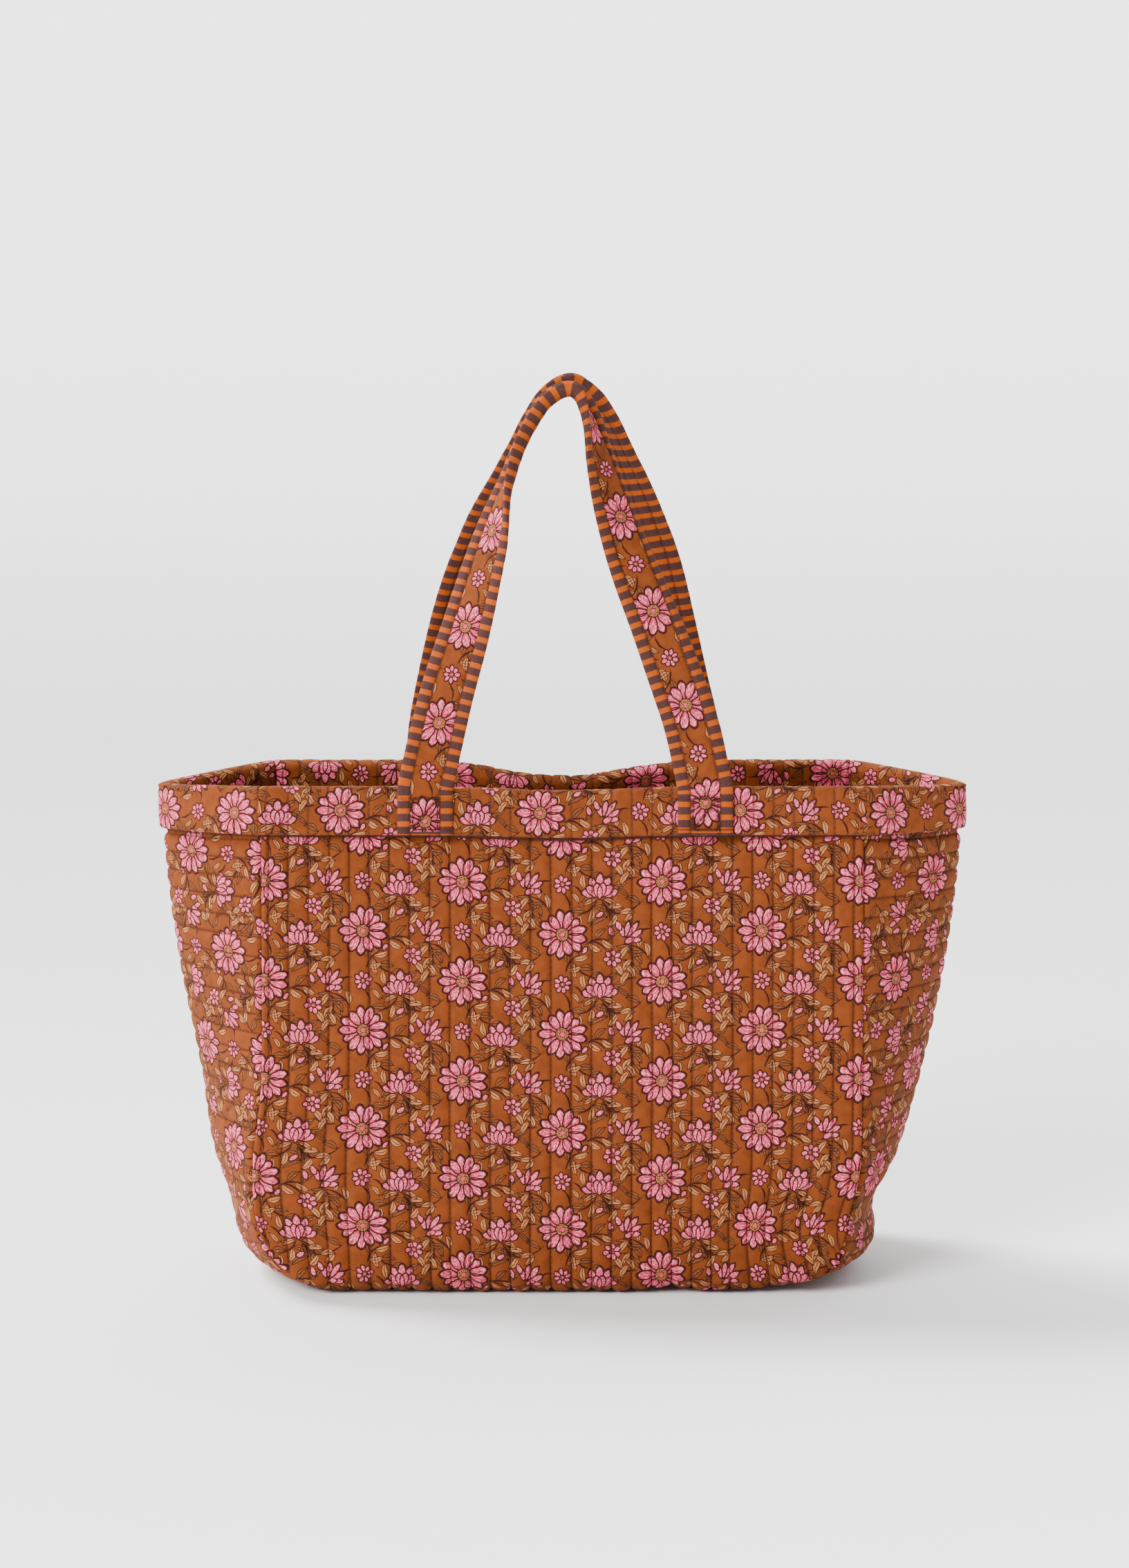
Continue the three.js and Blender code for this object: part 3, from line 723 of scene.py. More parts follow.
# ---- Quilted panels
VALLEY = 0.9  # the printed cloth's height over the quilt's middle at a line of stitches
PUFF = 2.5  # and how much higher it stands between two lines
STRIP_PUFF = 1.7
RESTS_AT = 0.15  # the base's puffs are pressed flat at this height
PUFF_TURN = 1.5  # how quickly it rises from a line
PUFF_CROWN = 0.25  # the share of the puff that is a broad curve
SEAM_SINK = 3.4  # how far the cloth turns in at a seam
SEAM_ROUND = 4.5
SEAM_STEPS = (0.0, 0.25, 0.6, 1.1, 1.8, 2.8, 4.2)
CHANNEL_STEPS = (0.0, 0.35, 0.9, 1.7, 2.9, 4.7)
CLEAR_OF_SEAM, CLEAR_OF_EACH = 4.6, 0.2  # samples keep this far from a seam's own, and from each other
WANDER = 0.7  # how far a line of stitches strays
RUFFLE = 0.16  # how much the puffs vary
PRINT_THICK, LINING_THICK = 0.5, 0.4
FILL_LOW = -1.75  # the wadding's lower height
FILL_TOP = (-1.5, 0.55)  # the least and the most of its upper height
LINING_TOP, LINING_PUFF = -1.9, 0.4  # the lining's height at a line of stitches, and how far it puffs
LINING_LOW = -3.1
BAND_LINE = 31.5  # the band's lower edge, down the cloth
BAND_TUCK, TUCK_REACH, TUCK_LINE = 2.2, 4.5, 0.6  # its depth, its reach and its thread's half width
NO_SEAM = 40.0  # a distance, in mm, that says there is no line of quilting near
PRINT_AT = {"front_panel": (0.0, -100.0), "back_panel": (20.0, -120.0), "strip": (-370.0, 36.0)}


def channel_samples(low, high, pitch, first):
    """Places from low to high, close together at lines of quilting and at both ends."""
    lines = np.arange(math.floor((low - first) / pitch), math.ceil((high - first) / pitch) + 1)
    lines = first + lines * pitch
    places = [line + sign * step for line in lines for step in CHANNEL_STEPS for sign in (-1, 1)]
    places += list(lines + pitch / 2)
    ends = [low + step for step in SEAM_STEPS] + [high - step for step in SEAM_STEPS]
    places = sorted(v for v in places if low + CLEAR_OF_SEAM < v < high - CLEAR_OF_SEAM)
    merged = sorted(ends)[: len(SEAM_STEPS)] + places + sorted(ends)[len(SEAM_STEPS) :]
    kept = [merged[0]]
    for value in merged[1:]:
        if value - kept[-1] > CLEAR_OF_EACH:
            kept.append(value)
    return np.array(kept)


def quilted_height(across, rise, pitch, first, ruffle, edge):
    """(the cloth's height over the quilt's middle, distance from the nearest line of quilting)."""
    cell = ((across - first) / pitch) % 1
    away = np.minimum(cell, 1 - cell) * pitch
    puff = (1 - np.exp(-away / PUFF_TURN)) * (1 - PUFF_CROWN) + PUFF_CROWN * np.sin(np.pi * cell)
    share = np.clip(edge / SEAM_ROUND, 0, 1)
    sink = SEAM_SINK * (1 - np.sqrt(np.clip(1 - (1 - share) ** 2, 0, 1)))
    height = VALLEY + rise * puff * (1 + RUFFLE * ruffle) - sink
    return height, away


def tuck_under_band(height, away, from_top):
    """The cloth drawn in along the line where the band is sewn on. That line gets running stitches and
    painted shade as a line of quilting does.
    """
    line = np.abs(from_top - BAND_LINE)
    away = np.minimum(away, np.maximum(0, line - TUCK_LINE))
    return height - BAND_TUCK * np.exp(-((line / TUCK_REACH) ** 2)), away


def cloth_length(points, axis):
    """The length along a grid's lines, from its first row."""
    steps = np.linalg.norm(np.diff(points, axis=axis), axis=-1)
    start = np.zeros_like(np.take(steps, [0], axis))
    return np.concatenate([start, np.cumsum(steps, axis)], axis)


def sheet_between(name, points, normals, low, high, uv, material, seams=None):
    """A closed sheet between two heights over the quilt's middle."""
    vertices, faces = slab(points + normals * high[..., None], points + normals * low[..., None])
    both = np.concatenate([uv.reshape(-1, 2)] * 2)
    lines = None if seams is None else np.concatenate([seams.reshape(-1, 2)] * 2)
    return add_mesh(name, vertices, face_out(vertices, faces), both, lines, [material])


def ride_bag(piece, node):
    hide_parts(node)
    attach(piece, "bag")


def add_quilt(name, points, normals, height, seams, uv):
    """The printed sheet, the wadding and the lining of one piece of the quilt."""
    under = np.minimum(height - PRINT_THICK, VALLEY - 0.2)
    cloth = sheet_between(f"{name}_print_cloth", points, normals, under, height, uv, PRINT, seams)
    edges = [np.unique(np.r_[np.arange(0, n, k), n - 1]) for n, k in zip(points.shape[:2], (3, 2))]
    coarse = np.ix_(*edges)
    p, n, h, cloth_uv = points[coarse], normals[coarse], height[coarse], uv[coarse]
    inner = p[1:-1, 1:-1], n[1:-1, 1:-1], h[1:-1, 1:-1], cloth_uv[1:-1, 1:-1]
    top = np.clip(inner[2] - 1.0, *FILL_TOP)
    bottom = np.full(top.shape, FILL_LOW)
    wadding = sheet_between(f"{name}_wadding_fill", inner[0], inner[1], bottom, top, inner[3], WADDING)
    top = np.clip(LINING_TOP - LINING_PUFF * (h - VALLEY), LINING_LOW, LINING_TOP)
    lining = sheet_between(f"{name}_lining_cloth", p, n, top - LINING_THICK, top, cloth_uv[..., ::-1],
                           STRIPES, seams[coarse])
    for piece, layer in ((cloth, "print"), (wadding, "wadding"), (lining, "lining")):
        ride_bag(piece, f"{name}_{layer}")


PANEL_ROWS = np.concatenate([  # shares of the way up a panel, close together at the hem and the band
    [0, 0.001, 0.003, 0.006, 0.010], np.linspace(0.016, 0.88, 92), np.linspace(0.885, 0.935, 16),
    np.linspace(0.945, 1, 7),
])


def add_panel(name, side):
    across = channel_samples(-PANEL_HALF, PANEL_HALF, CHANNEL, FIRST_CHANNEL)
    x = np.repeat(across[:, None], len(PANEL_ROWS), 1)
    low = hem_height(x)
    z = low + (PANEL_TOP - low) * PANEL_ROWS[None]
    fade = np.clip((PANEL_HALF - np.abs(x)) / CHANNEL, 0, 1)
    x = x + WANDER * noise(x.shape, (24, 26), 41 + side) * fade
    points = settle(panel_point(side, x, z))
    normals = grid_normals(points, -side)
    from_hem = cloth_length(points, 1)
    from_top = from_hem[:, -1:] - from_hem
    edge = np.minimum(PANEL_HALF - np.abs(across)[:, None], from_hem)
    ruffle = noise(x.shape, (7, 3), 11 + side) + 0.6 * noise(x.shape, (26, 9), 17 + side)
    lines = np.repeat(across[:, None], len(PANEL_ROWS), 1)
    height, away = quilted_height(lines, PUFF, CHANNEL, FIRST_CHANNEL, ruffle, edge)
    height, away = tuck_under_band(height, away, from_top)
    centre = PRINT_AT[name]
    uv = np.stack([-side * x - centre[0], -from_top - centre[1]], -1)
    add_quilt(name, points, normals, height, np.stack([away, z], -1), uv)


TOP_S = STRIP_HALF + PANEL_TOP - CORNER_Z


def add_strip(name, low, high):
    line = STRIP_CHANNEL / 2
    along = channel_samples(low, high, STRIP_CHANNEL, line)
    turn = np.sin(np.linspace(-1, 1, 65) * np.pi / 2)
    s, t = np.meshgrid(along, turn, indexing="ij")
    fade = np.clip(np.minimum(s - low, high - s) / STRIP_CHANNEL, 0, 1)
    wander = WANDER * noise(s.shape, (26, 22), 57 + int(abs(low))) * fade
    points = settle(strip_point(s + wander, t))
    normals = grid_normals(points)
    outward = points - [0, 0, RIM_Z / 2]
    normals *= np.sign((normals * outward).sum())
    width = cloth_length(points, 1)
    girth = width[:, -1:]
    edge = np.minimum(width, girth - width)
    ruffle = noise(s.shape, (7, 5), 23 + int(abs(low))) + 0.6 * noise(s.shape, (26, 12), 29)
    height, away = quilted_height(s, STRIP_PUFF, STRIP_CHANNEL, line, ruffle, edge)
    down = np.maximum(-normals[..., 2], 0.02)
    height = np.minimum(height, np.maximum((points[..., 2] - RESTS_AT) / down, -SEAM_SINK))
    height, away = tuck_under_band(height, away, TOP_S - np.abs(s))
    centre = PRINT_AT["strip"]
    uv = np.stack([s + wander - centre[0], girth / 2 - width - centre[1]], -1)
    add_quilt(name, points, normals, height, np.stack([away, width], -1), uv)


add_panel("front_panel", -1)
add_panel("back_panel", 1)
add_strip("left_gusset", -TOP_S, -STRIP_HALF)
add_strip("base", -STRIP_HALF, STRIP_HALF)
add_strip("right_gusset", STRIP_HALF, TOP_S)

# ---- Rim band
# The band's section as (offset from the quilt's middle, height over the panel's top edge): up the
# outer leaf, over the rim and down the inner leaf, then up inside the fold and down again.
BAND_OUTSIDE = [
    (3.3, -28.5), (3.9, -30.2), (5.2, -30.8), (6.5, -30.1), (7.3, -28.2), (7.7, -25.0), (7.6, -19.0),
    (7.2, -12.0), (6.9, -6.0), (6.6, -1.0), (5.6, 2.2), (3.4, 4.0), (0.4, 4.5), (-2.8, 4.1),
    (-5.2, 2.4), (-6.6, -1.0), (-6.9, -6.0), (-6.9, -16.0), (-6.8, -25.0), (-6.2, -29.0),
    (-5.0, -30.4), (-3.8, -29.8),
]
BAND_INSIDE = [(-3.4, -24.0), (-3.4, -8.0), (-3.3, -1.0), (0.0, 0.6), (3.1, -1.0), (3.2, -8.0), (3.2, -24.0)]
BAND_PUFF, BAND_RUFFLE = 0.8, 0.45
END_FADE = 12  # a band is plain this near its ends
END_PINCH, PINCH_REACH = 1.1, 2.5
BAND_PRINT_AT = {"front": (-160.0, 22.0), "back": (10.0, 20.0), "left": (-20.0, 10.0), "right": (20.0, 10.0)}


def resample(points, step):
    """(the line with points about step apart, each point's length along it)"""
    length = cloth_length(points, 0)
    count = max(2, int(round(length[-1] / step)) + 1)
    at = np.linspace(0, length[-1], count)
    return np.stack([np.interp(at, length, points[:, k]) for k in range(points.shape[1])], -1), at


def zip_cap(outer, inner, start, turn):
    """Faces that fill the strip between two runs of vertices which share a direction."""
    pair = np.round(np.linspace(0, len(inner) - 1, len(outer))).astype(int)
    faces = []
    for k in range(len(outer) - 1):
        loop = [outer[k], outer[k + 1], inner[pair[k + 1]], inner[pair[k]]]
        loop = [v for i, v in enumerate(loop) if v not in loop[:i]]
        if len(loop) > 2:
            faces.append([start + v for v in loop][::turn])
    return faces


def end_caps(outer, inner, count, rows):
    """Faces that close both ends of a tube of count rings, with rows vertices in each."""
    return zip_cap(outer, inner, 0, 1) + zip_cap(outer, inner, (count - 1) * rows, -1)


BAND_FOOT = PANEL_TOP - BAND_DEPTH - 2
BAND_LEVELS = 10
MITRE_REACH = 24.0
SIDE_SLIM, SIDE_PLAIN, SIDE_FADE = 0.5, 3.4, 60  # a side band is slimmer past this offset and distance


def band_normals(surface, flip):
    """The directions a band's outer leaf faces, at a few levels."""
    every = [surface(z) for z in np.linspace(BAND_FOOT, PANEL_TOP, BAND_LEVELS)]
    return grid_normals(np.stack(every, 1), flip)


def mitre(normals, end, other):
    """The direction, at each level, of the join between one band's end and another's."""
    a, b = normals[end], other
    middle = (a + b) / np.linalg.norm(a + b, axis=-1, keepdims=True)
    return middle / (middle * a).sum(-1, keepdims=True)


def add_band(name, surface, along, puffed, flip, turned):
    """surface(z) gives the quilt's middle along the rim at flat height z, and along the places
    that its points have along the rim."""
    count = len(along)
    fine, around = resample(np.array(BAND_OUTSIDE), 1.5)
    section = np.concatenate([fine, BAND_INSIDE])
    rows, leaf = len(section), len(fine)
    levels = PANEL_TOP + np.minimum(0, section[:, 1])
    grid = np.stack([surface(z) for z in levels], 1)
    normals = BAND_NORMALS[name].copy()
    length = cloth_length(grid[:, 0], 0)
    end = np.minimum(length, length[-1] - length)
    for at_end, near in ((0, length), (-1, length[-1] - length)):
        other, other_end = BAND_JOINS[name, at_end]
        joint = mitre(BAND_NORMALS[name], at_end, BAND_NORMALS[other][other_end])
        share = np.clip(1 - near / MITRE_REACH, 0, 1)[:, None, None] ** 2
        normals = normals * (1 - share) + joint[None] * share
    at_level = (levels - BAND_FOOT) / (PANEL_TOP - BAND_FOOT) * (BAND_LEVELS - 1)
    at_level = np.clip(at_level, 0, BAND_LEVELS - 1)
    below = np.minimum(at_level.astype(int), BAND_LEVELS - 2)
    part = (at_level - below)[None, :, None]
    n = normals[:, below] * (1 - part) + normals[:, below + 1] * part
    length = length - length[-1] / 2
    is_leaf = (np.arange(rows) < leaf)[None]
    away = np.full(count, NO_SEAM)
    grow = BAND_RUFFLE * noise((count, rows), (9, 11), 5 + len(name))
    if puffed:
        cell = ((along - FIRST_CHANNEL) / CHANNEL) % 1
        away = np.minimum(cell, 1 - cell) * CHANNEL
        grow = grow + BAND_PUFF * ((1 - np.exp(-away / PUFF_TURN)) - 0.75)[:, None]
    if turned:
        outside = np.clip(section[:, 0] - SIDE_PLAIN, 0, 4)[None] * (section[:, 1] < 2)[None]
        grow = grow - SIDE_SLIM * outside * smoothstep(0, SIDE_FADE, end)[:, None]
    grow = grow * smoothstep(0, END_FADE, end)[:, None]
    grow = (grow - END_PINCH * np.clip(1 - end / PINCH_REACH, 0, 1)[:, None] ** 2) * is_leaf
    off, rise = section[None, :, 0], section[None, :, 1]
    offset = off + np.sign(off) * grow * (np.abs(off) > 0.5)
    points = grid + n * offset[..., None]
    points[..., 2] += np.maximum(0, rise) + 0.6 * grow * (rise > 1.0)
    chain = [0] + list(range(rows - 1, leaf - 1, -1)) + [leaf - 1]
    caps = end_caps(list(range(leaf)), chain, count, rows)
    up = np.concatenate([around, np.full(rows - leaf, around[-1])])
    u = np.repeat(length[:, None], rows, 1)
    v = np.repeat(up[None], count, 0)
    uv = np.stack([flip * v, -u] if turned else [flip * u, v], -1).reshape(-1, 2)
    uv = uv - BAND_PRINT_AT[name]
    seams = np.stack(np.broadcast_arrays(away[:, None], v), -1).reshape(-1, 2)
    faces = grid_faces(count, rows, closed=True).tolist() + caps
    piece = add_poly_mesh(f"rim_band_{name}_cloth", points.reshape(-1, 3), faces, uv, seams, [PRINT])
    ride_bag(piece, f"rim_band_{name}")


RIM_X = channel_samples(-PANEL_HALF, PANEL_HALF, CHANNEL, FIRST_CHANNEL)
RIM_T = np.sin(np.linspace(-1, 1, 97) * np.pi / 2)
BANDS = {  # the surface along each length of rim, its places, whether puffed, its sign, its print's turn
    "front": (lambda z: panel_point(-1, RIM_X, np.full(RIM_X.shape, z)), RIM_X, True, 1, False),
    "back": (lambda z: panel_point(1, RIM_X, np.full(RIM_X.shape, z)), RIM_X, True, -1, False),
    "left": (lambda z: gusset_point(-1, np.full(RIM_T.shape, z), RIM_T), RIM_T, False, -1, True),
    "right": (lambda z: gusset_point(1, np.full(RIM_T.shape, z), RIM_T), RIM_T, False, 1, True),
}
BAND_JOINS = {  # each end of a band and the end it meets
    ("front", 0): ("left", 0), ("front", -1): ("right", 0),
    ("back", 0): ("left", -1), ("back", -1): ("right", -1),
}
BAND_JOINS.update({joined: end for end, joined in list(BAND_JOINS.items())})
BAND_NORMALS = {name: band_normals(band[0], band[3]) for name, band in BANDS.items()}
for band_name, band in BANDS.items():
    add_band(band_name, *band)

# ---- Handles
STRAP_THICK = 2.5
STRAP_QUILT = 15.0  # the faint quilting across the strap's printed middle
STRAP_PRINT_AT = {"front": (0.0, 10.0), "back": (0.0, 20.0)}
BEND_FROM = 5.0  # an edge bends from this far off the strap's middle
# How far each edge is bent, in radians, at shares of the way up a leg. Positive turns it over the
# printed face. The inner edge of a leg is the one towards the opening between the legs.
BENDS = {
    "front": {
        "share": (0.0, 0.2, 0.45, 0.62, 0.76, 0.88, 1.0),
        "left": {"inner": (0, 0, 0.1, 0.3, 1.2, 1.45, 1.45), "outer": (0, 0, 0, 0.1, 0.4, 1.0, 1.45)},
        "right": {"inner": (0, 0, 0.1, 0.2, 0.3, 0.7, 1.45),
                  "outer": (0, -0.4, -1.1, -1.4, -1.3, -0.2, 1.45)},
    },
    "back": {
        "share": (0.0, 0.3, 0.6, 0.75, 0.85, 0.93, 1.0),
        "left": {"inner": (0, 0.1, 0.4, 0.9, 1.3, 1.4, 1.4), "outer": (0, 0, 0.2, 0.5, 0.9, 1.3, 1.4)},
        "right": {"inner": (0, 0, 0.1, 0.2, 0.3, 0.9, 1.4), "outer": (0, 0, 0.1, 0.2, 0.3, 0.9, 1.4)},
    },
}
BEND_BLUR = 19  # the number of rows that a bend is averaged over
STRAP_STEP = 1.3  # how far apart a strap's rows are
SNAP = 0.14  # how much sooner a left leg turns edge-on where it folds
STRAP_HEM = 0.9  # how much thicker a strap is where its end is turned in
PUCKER = 0.25
# A strap's dents, as (depth, reach): its quilting, the crease down its back, the box sewn through it
QUILT_DENT, BACK_CREASE, BOX_DENT = (0.55, 1.4), (0.9, 1.2), (0.9, 1.1)
SHOWS_FROM, SHOWS_TO = 1.5, 3.0  # the printed middle stops this far from a strap's two ends


def catmull(points, samples=24):
    """A centripetal Catmull-Rom curve through the points."""
    p = np.asarray(points, float)
    p = np.concatenate([[2 * p[0] - p[1]], p, [2 * p[-1] - p[-2]]])
    out = []
    for k in range(1, len(p) - 2):
        q = p[k - 1 : k + 3]
        gap = np.sqrt(np.linalg.norm(np.diff(q, axis=0), axis=1))
        t0, t1, t2, t3 = np.concatenate([[0], np.cumsum(gap)])
        t = np.linspace(t1, t2, samples, endpoint=False)[:, None]
        a1 = (t1 - t) / (t1 - t0) * q[0] + (t - t0) / (t1 - t0) * q[1]
        a2 = (t2 - t) / (t2 - t1) * q[1] + (t - t1) / (t2 - t1) * q[2]
        a3 = (t3 - t) / (t3 - t2) * q[2] + (t - t2) / (t3 - t2) * q[3]
        b1 = (t2 - t) / (t2 - t0) * a1 + (t - t0) / (t2 - t0) * a2
        b2 = (t3 - t) / (t3 - t1) * a2 + (t - t1) / (t3 - t1) * a3
        out.append((t2 - t) / (t2 - t1) * b1 + (t - t1) / (t2 - t1) * b2)
    return np.concatenate(out + [p[-2:-1]])


def tab_frame(side, x):
    """A tab's bottom and top points, the direction across it and the way it faces."""
    near = panel_point(side, np.array([x - 1.0, x + 1.0]), np.full(2, PANEL_TOP))
    across = near[1] - near[0]
    across[2] = 0
    across /= np.linalg.norm(across)
    face = np.array([-across[1], across[0], 0]) * side
    low, top = panel_point(side, np.full(2, x), np.array([PANEL_TOP - TAB_LENGTH, PANEL_TOP]))
    low, top = low + face * TAB_OFFSET, top + face * TAB_OFFSET
    top[2] = RIM_Z
    return low, top, across, face


def strap_frames(side, line, twist):
    """The strap's middle line and directions, from the hem of one tab over the crown to the other."""
    height = max(rise for _, rise in line)
    left, right = (tab_frame(side, x) for x in TAB_X)
    foot_y = left[1][1]
    loop = catmull([
        (x, foot_y + (side * CROWN_OUT - foot_y) * rise / height, RIM_Z + HINGE_GAP + rise)
        for x, rise in line
    ])
    up = np.linspace(0, 1, 12, endpoint=False)[:, None]
    path = np.concatenate([
        left[0] + (left[1] - left[0]) * up, loop, (right[0] + (right[1] - right[0]) * up)[::-1]
    ])
    p, at = resample(path, STRAP_STEP)
    for _ in range(3):
        p[1:-1] = (p[:-2] + 2 * p[1:-1] + p[2:]) / 4
    along = np.gradient(p, axis=0)
    along /= np.linalg.norm(along, axis=1, keepdims=True)
    facing = np.tile([0.0, side, 0.0], (len(p), 1))
    facing -= along * (facing * along).sum(1, keepdims=True)
    facing /= np.linalg.norm(facing, axis=1, keepdims=True)
    inward = np.cross(along, facing) * -side
    rise = np.clip((p[:, 2] - RIM_Z - HINGE_GAP) / height, 0, 1)
    is_left = np.arange(len(p)) < np.argmax(p[:, 2])
    snap = SNAP * smoothstep(0.62, 0.8, rise) * (1 - smoothstep(0.85, 1.0, rise)) * is_left
    angle = np.pi / 2 * (rise ** np.where(is_left, twist[0], twist[1]) + snap)
    across = inward * np.cos(angle)[:, None] + facing * np.sin(angle)[:, None]
    face = np.cross(across, along) * -side
    return p, across, face, at, rise, is_left


def strap_height(w):
    """The strap's half thickness at w across it, as a share of its thickest: a soft printed middle,
    a stitched ditch to each side and a rolled border."""
    out = np.abs(w)
    border = np.sin(np.pi * np.clip((out - SHOW_HALF) / (STRAP_HALF - SHOW_HALF), 0, 1)) ** 0.5
    middle = 0.62 + 0.25 * np.clip(1 - (out / SHOW_HALF) ** 2, 0, 1)
    body = np.where(out < SHOW_HALF, middle, 0.55 + 0.5 * border)
    ditch = 0.32 * np.exp(-(((out - SHOW_HALF) / 0.8) ** 2))
    edge = np.sqrt(np.clip(1 - (out / STRAP_HALF) ** 12, 0, 1))
    return (body - ditch) * edge


BOX_SIDE, BOX_FOOT, BOX_TOP = SHOW_HALF - 1.6, 4.0, TAB_LENGTH - 2.5


def box_away(x, height):
    """The distance from the box and its diagonal that are sewn through a tab."""
    reach_x = np.maximum(0, np.abs(x) - STRAP_HALF)
    reach_z = np.maximum(0, np.maximum(BOX_FOOT - height, height - BOX_TOP))
    level = np.minimum(np.abs(height - BOX_FOOT), np.abs(height - BOX_TOP)) + reach_x
    upright = np.abs(np.abs(x) - BOX_SIDE) + reach_z
    run, climb = 2 * BOX_SIDE, BOX_TOP - BOX_FOOT
    off_line = np.abs((x + BOX_SIDE) * climb - (height - BOX_FOOT) * run) / math.hypot(run, climb)
    diagonal = off_line + reach_z + np.maximum(0, np.abs(x) - BOX_SIDE)
    return np.minimum(np.minimum(level, upright), diagonal)


def add_strap(name, side, line, twist):
    p, across, face, at, rise, is_left = strap_frames(side, line, twist)
    count = len(p)
    table, bends = BENDS[name], {}
    for edge in ("inner", "outer"):
        left, right = (np.interp(rise, table["share"], table[leg][edge]) for leg in ("left", "right"))
        padded = np.pad(np.where(is_left, left, right), BEND_BLUR // 2, "edge")
        bends[edge] = np.convolve(padded, np.ones(BEND_BLUR) / BEND_BLUR, "valid")
    hem = np.minimum(at, at[-1] - at)
    thick = STRAP_THICK + STRAP_HEM * np.exp(-(((hem - 3) / 3.0) ** 4))
    inner = np.linspace(0, SHOW_HALF, 12)
    outer = SHOW_HALF + (STRAP_HALF * 0.998 - SHOW_HALF) * np.sin(np.linspace(0, np.pi / 2, 13)[1:])
    w = np.concatenate([-outer[::-1], -inner[:0:-1], inner, outer])
    cols = len(w)

    side_of = np.sign(w)[None]
    flat = np.minimum(np.abs(w), BEND_FROM)[None]
    past = np.abs(w)[None] - flat
    bend = np.where(side_of > 0, bends["inner"][:, None], bends["outer"][:, None])
    turned = bend * past / (STRAP_HALF - BEND_FROM)
    reach = side_of * (flat + past * np.sinc(turned / np.pi))
    lift = past * turned / 2 * np.sinc(turned / 2 / np.pi) ** 2

    def row(offset):
        out = reach - side_of * np.sin(turned) * offset
        rise_off = lift + np.cos(turned) * offset
        return p[:, None] + across[:, None] * out[..., None] + face[:, None] * rise_off[..., None]

    puckers = PUCKER * noise((count, cols), (4, 5), 31 + side)
    base = strap_height(w)[None] * thick[:, None]
    cell = (at / STRAP_QUILT) % 1
    line_away = np.minimum(cell, 1 - cell) * STRAP_QUILT
    quilting = QUILT_DENT[0] * np.exp(-line_away / QUILT_DENT[1])[:, None] * (np.abs(w) < SHOW_HALF)[None]
    crease = BACK_CREASE[0] * np.exp(-((w / BACK_CREASE[1]) ** 2))[None]
    handed = np.where(is_left, 1.0, -1.0)[:, None]
    sewn = box_away(handed * w[None], hem[:, None])
    quilting = quilting + BOX_DENT[0] * np.exp(-((sewn / BOX_DENT[1]) ** 2))
    upper = row(base + puckers - quilting)
    lower = row(-(base + puckers[:, ::-1] - crease))[:, ::-1]
    ring = np.concatenate([upper, lower[:, 1:-1]], 1)
    rows = ring.shape[1]
    chain = [0] + list(range(rows - 1, cols - 1, -1)) + [cols - 1]
    caps = end_caps(list(range(cols)), chain, count, rows)
    wide = np.concatenate([w, w[::-1][1:-1]])
    shift = STRAP_PRINT_AT[name]
    uv = np.stack(np.broadcast_arrays(wide[None] - shift[0], at[:, None] - shift[1]), -1)
    # The ditches and the box sewn through each tab get running stitches and painted shade, as lines of
    # quilting do.
    ditch = np.abs(np.abs(wide)[None] - SHOW_HALF)
    box = box_away(handed * wide[None], hem[:, None])
    seams = np.stack(np.broadcast_arrays(np.minimum(ditch, box), at[:, None]), -1)
    faces = grid_faces(count, rows, closed=True).tolist()
    piece = add_poly_mesh(f"{name}_strap", ring.reshape(-1, 3), faces + caps, uv.reshape(-1, 2),
                          seams.reshape(-1, 2), [STRIPES, PRINT])
    middle = np.zeros(rows, bool)
    middle[: cols - 1] = np.abs(w[:-1] + w[1:]) / 2 < SHOW_HALF
    shows = middle[None] & ((at[:-1] > SHOWS_FROM) & (at[:-1] < at[-1] - SHOWS_TO))[:, None]
    index = np.concatenate([shows.astype(np.int32).ravel(), np.zeros(len(caps), np.int32)])
    piece.data.polygons.foreach_set("material_index", index)
    tabs = [f"{name}_{end}_tab_{part}" for end in ("left", "right") for part in ("binding", "core")]
    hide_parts(f"{name}_handle_binding", f"{name}_handle_core", *tabs)
    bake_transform(piece)


for handle_name, loop in LOOPS.items():
    add_strap(handle_name, loop["side"], loop["line"], loop["twist"])

# ---- Tab stitching
STITCH_LENGTH, STITCH_GAP, STITCH_R = 2.8, 0.8, 0.55
STITCH_BED = 2.15  # the middle of a stitch stands this far off the middle of the tab
# A stitch's rings: (share of the way along it, share of its full radius, how far it arches up)
STITCH_RINGS = [(0.0, 0.35, 0.0), (0.12, 0.85, 0.35), (0.5, 1.0, 0.5), (0.88, 0.85, 0.35), (1.0, 0.35, 0.0)]
STITCH_SIDES = 6


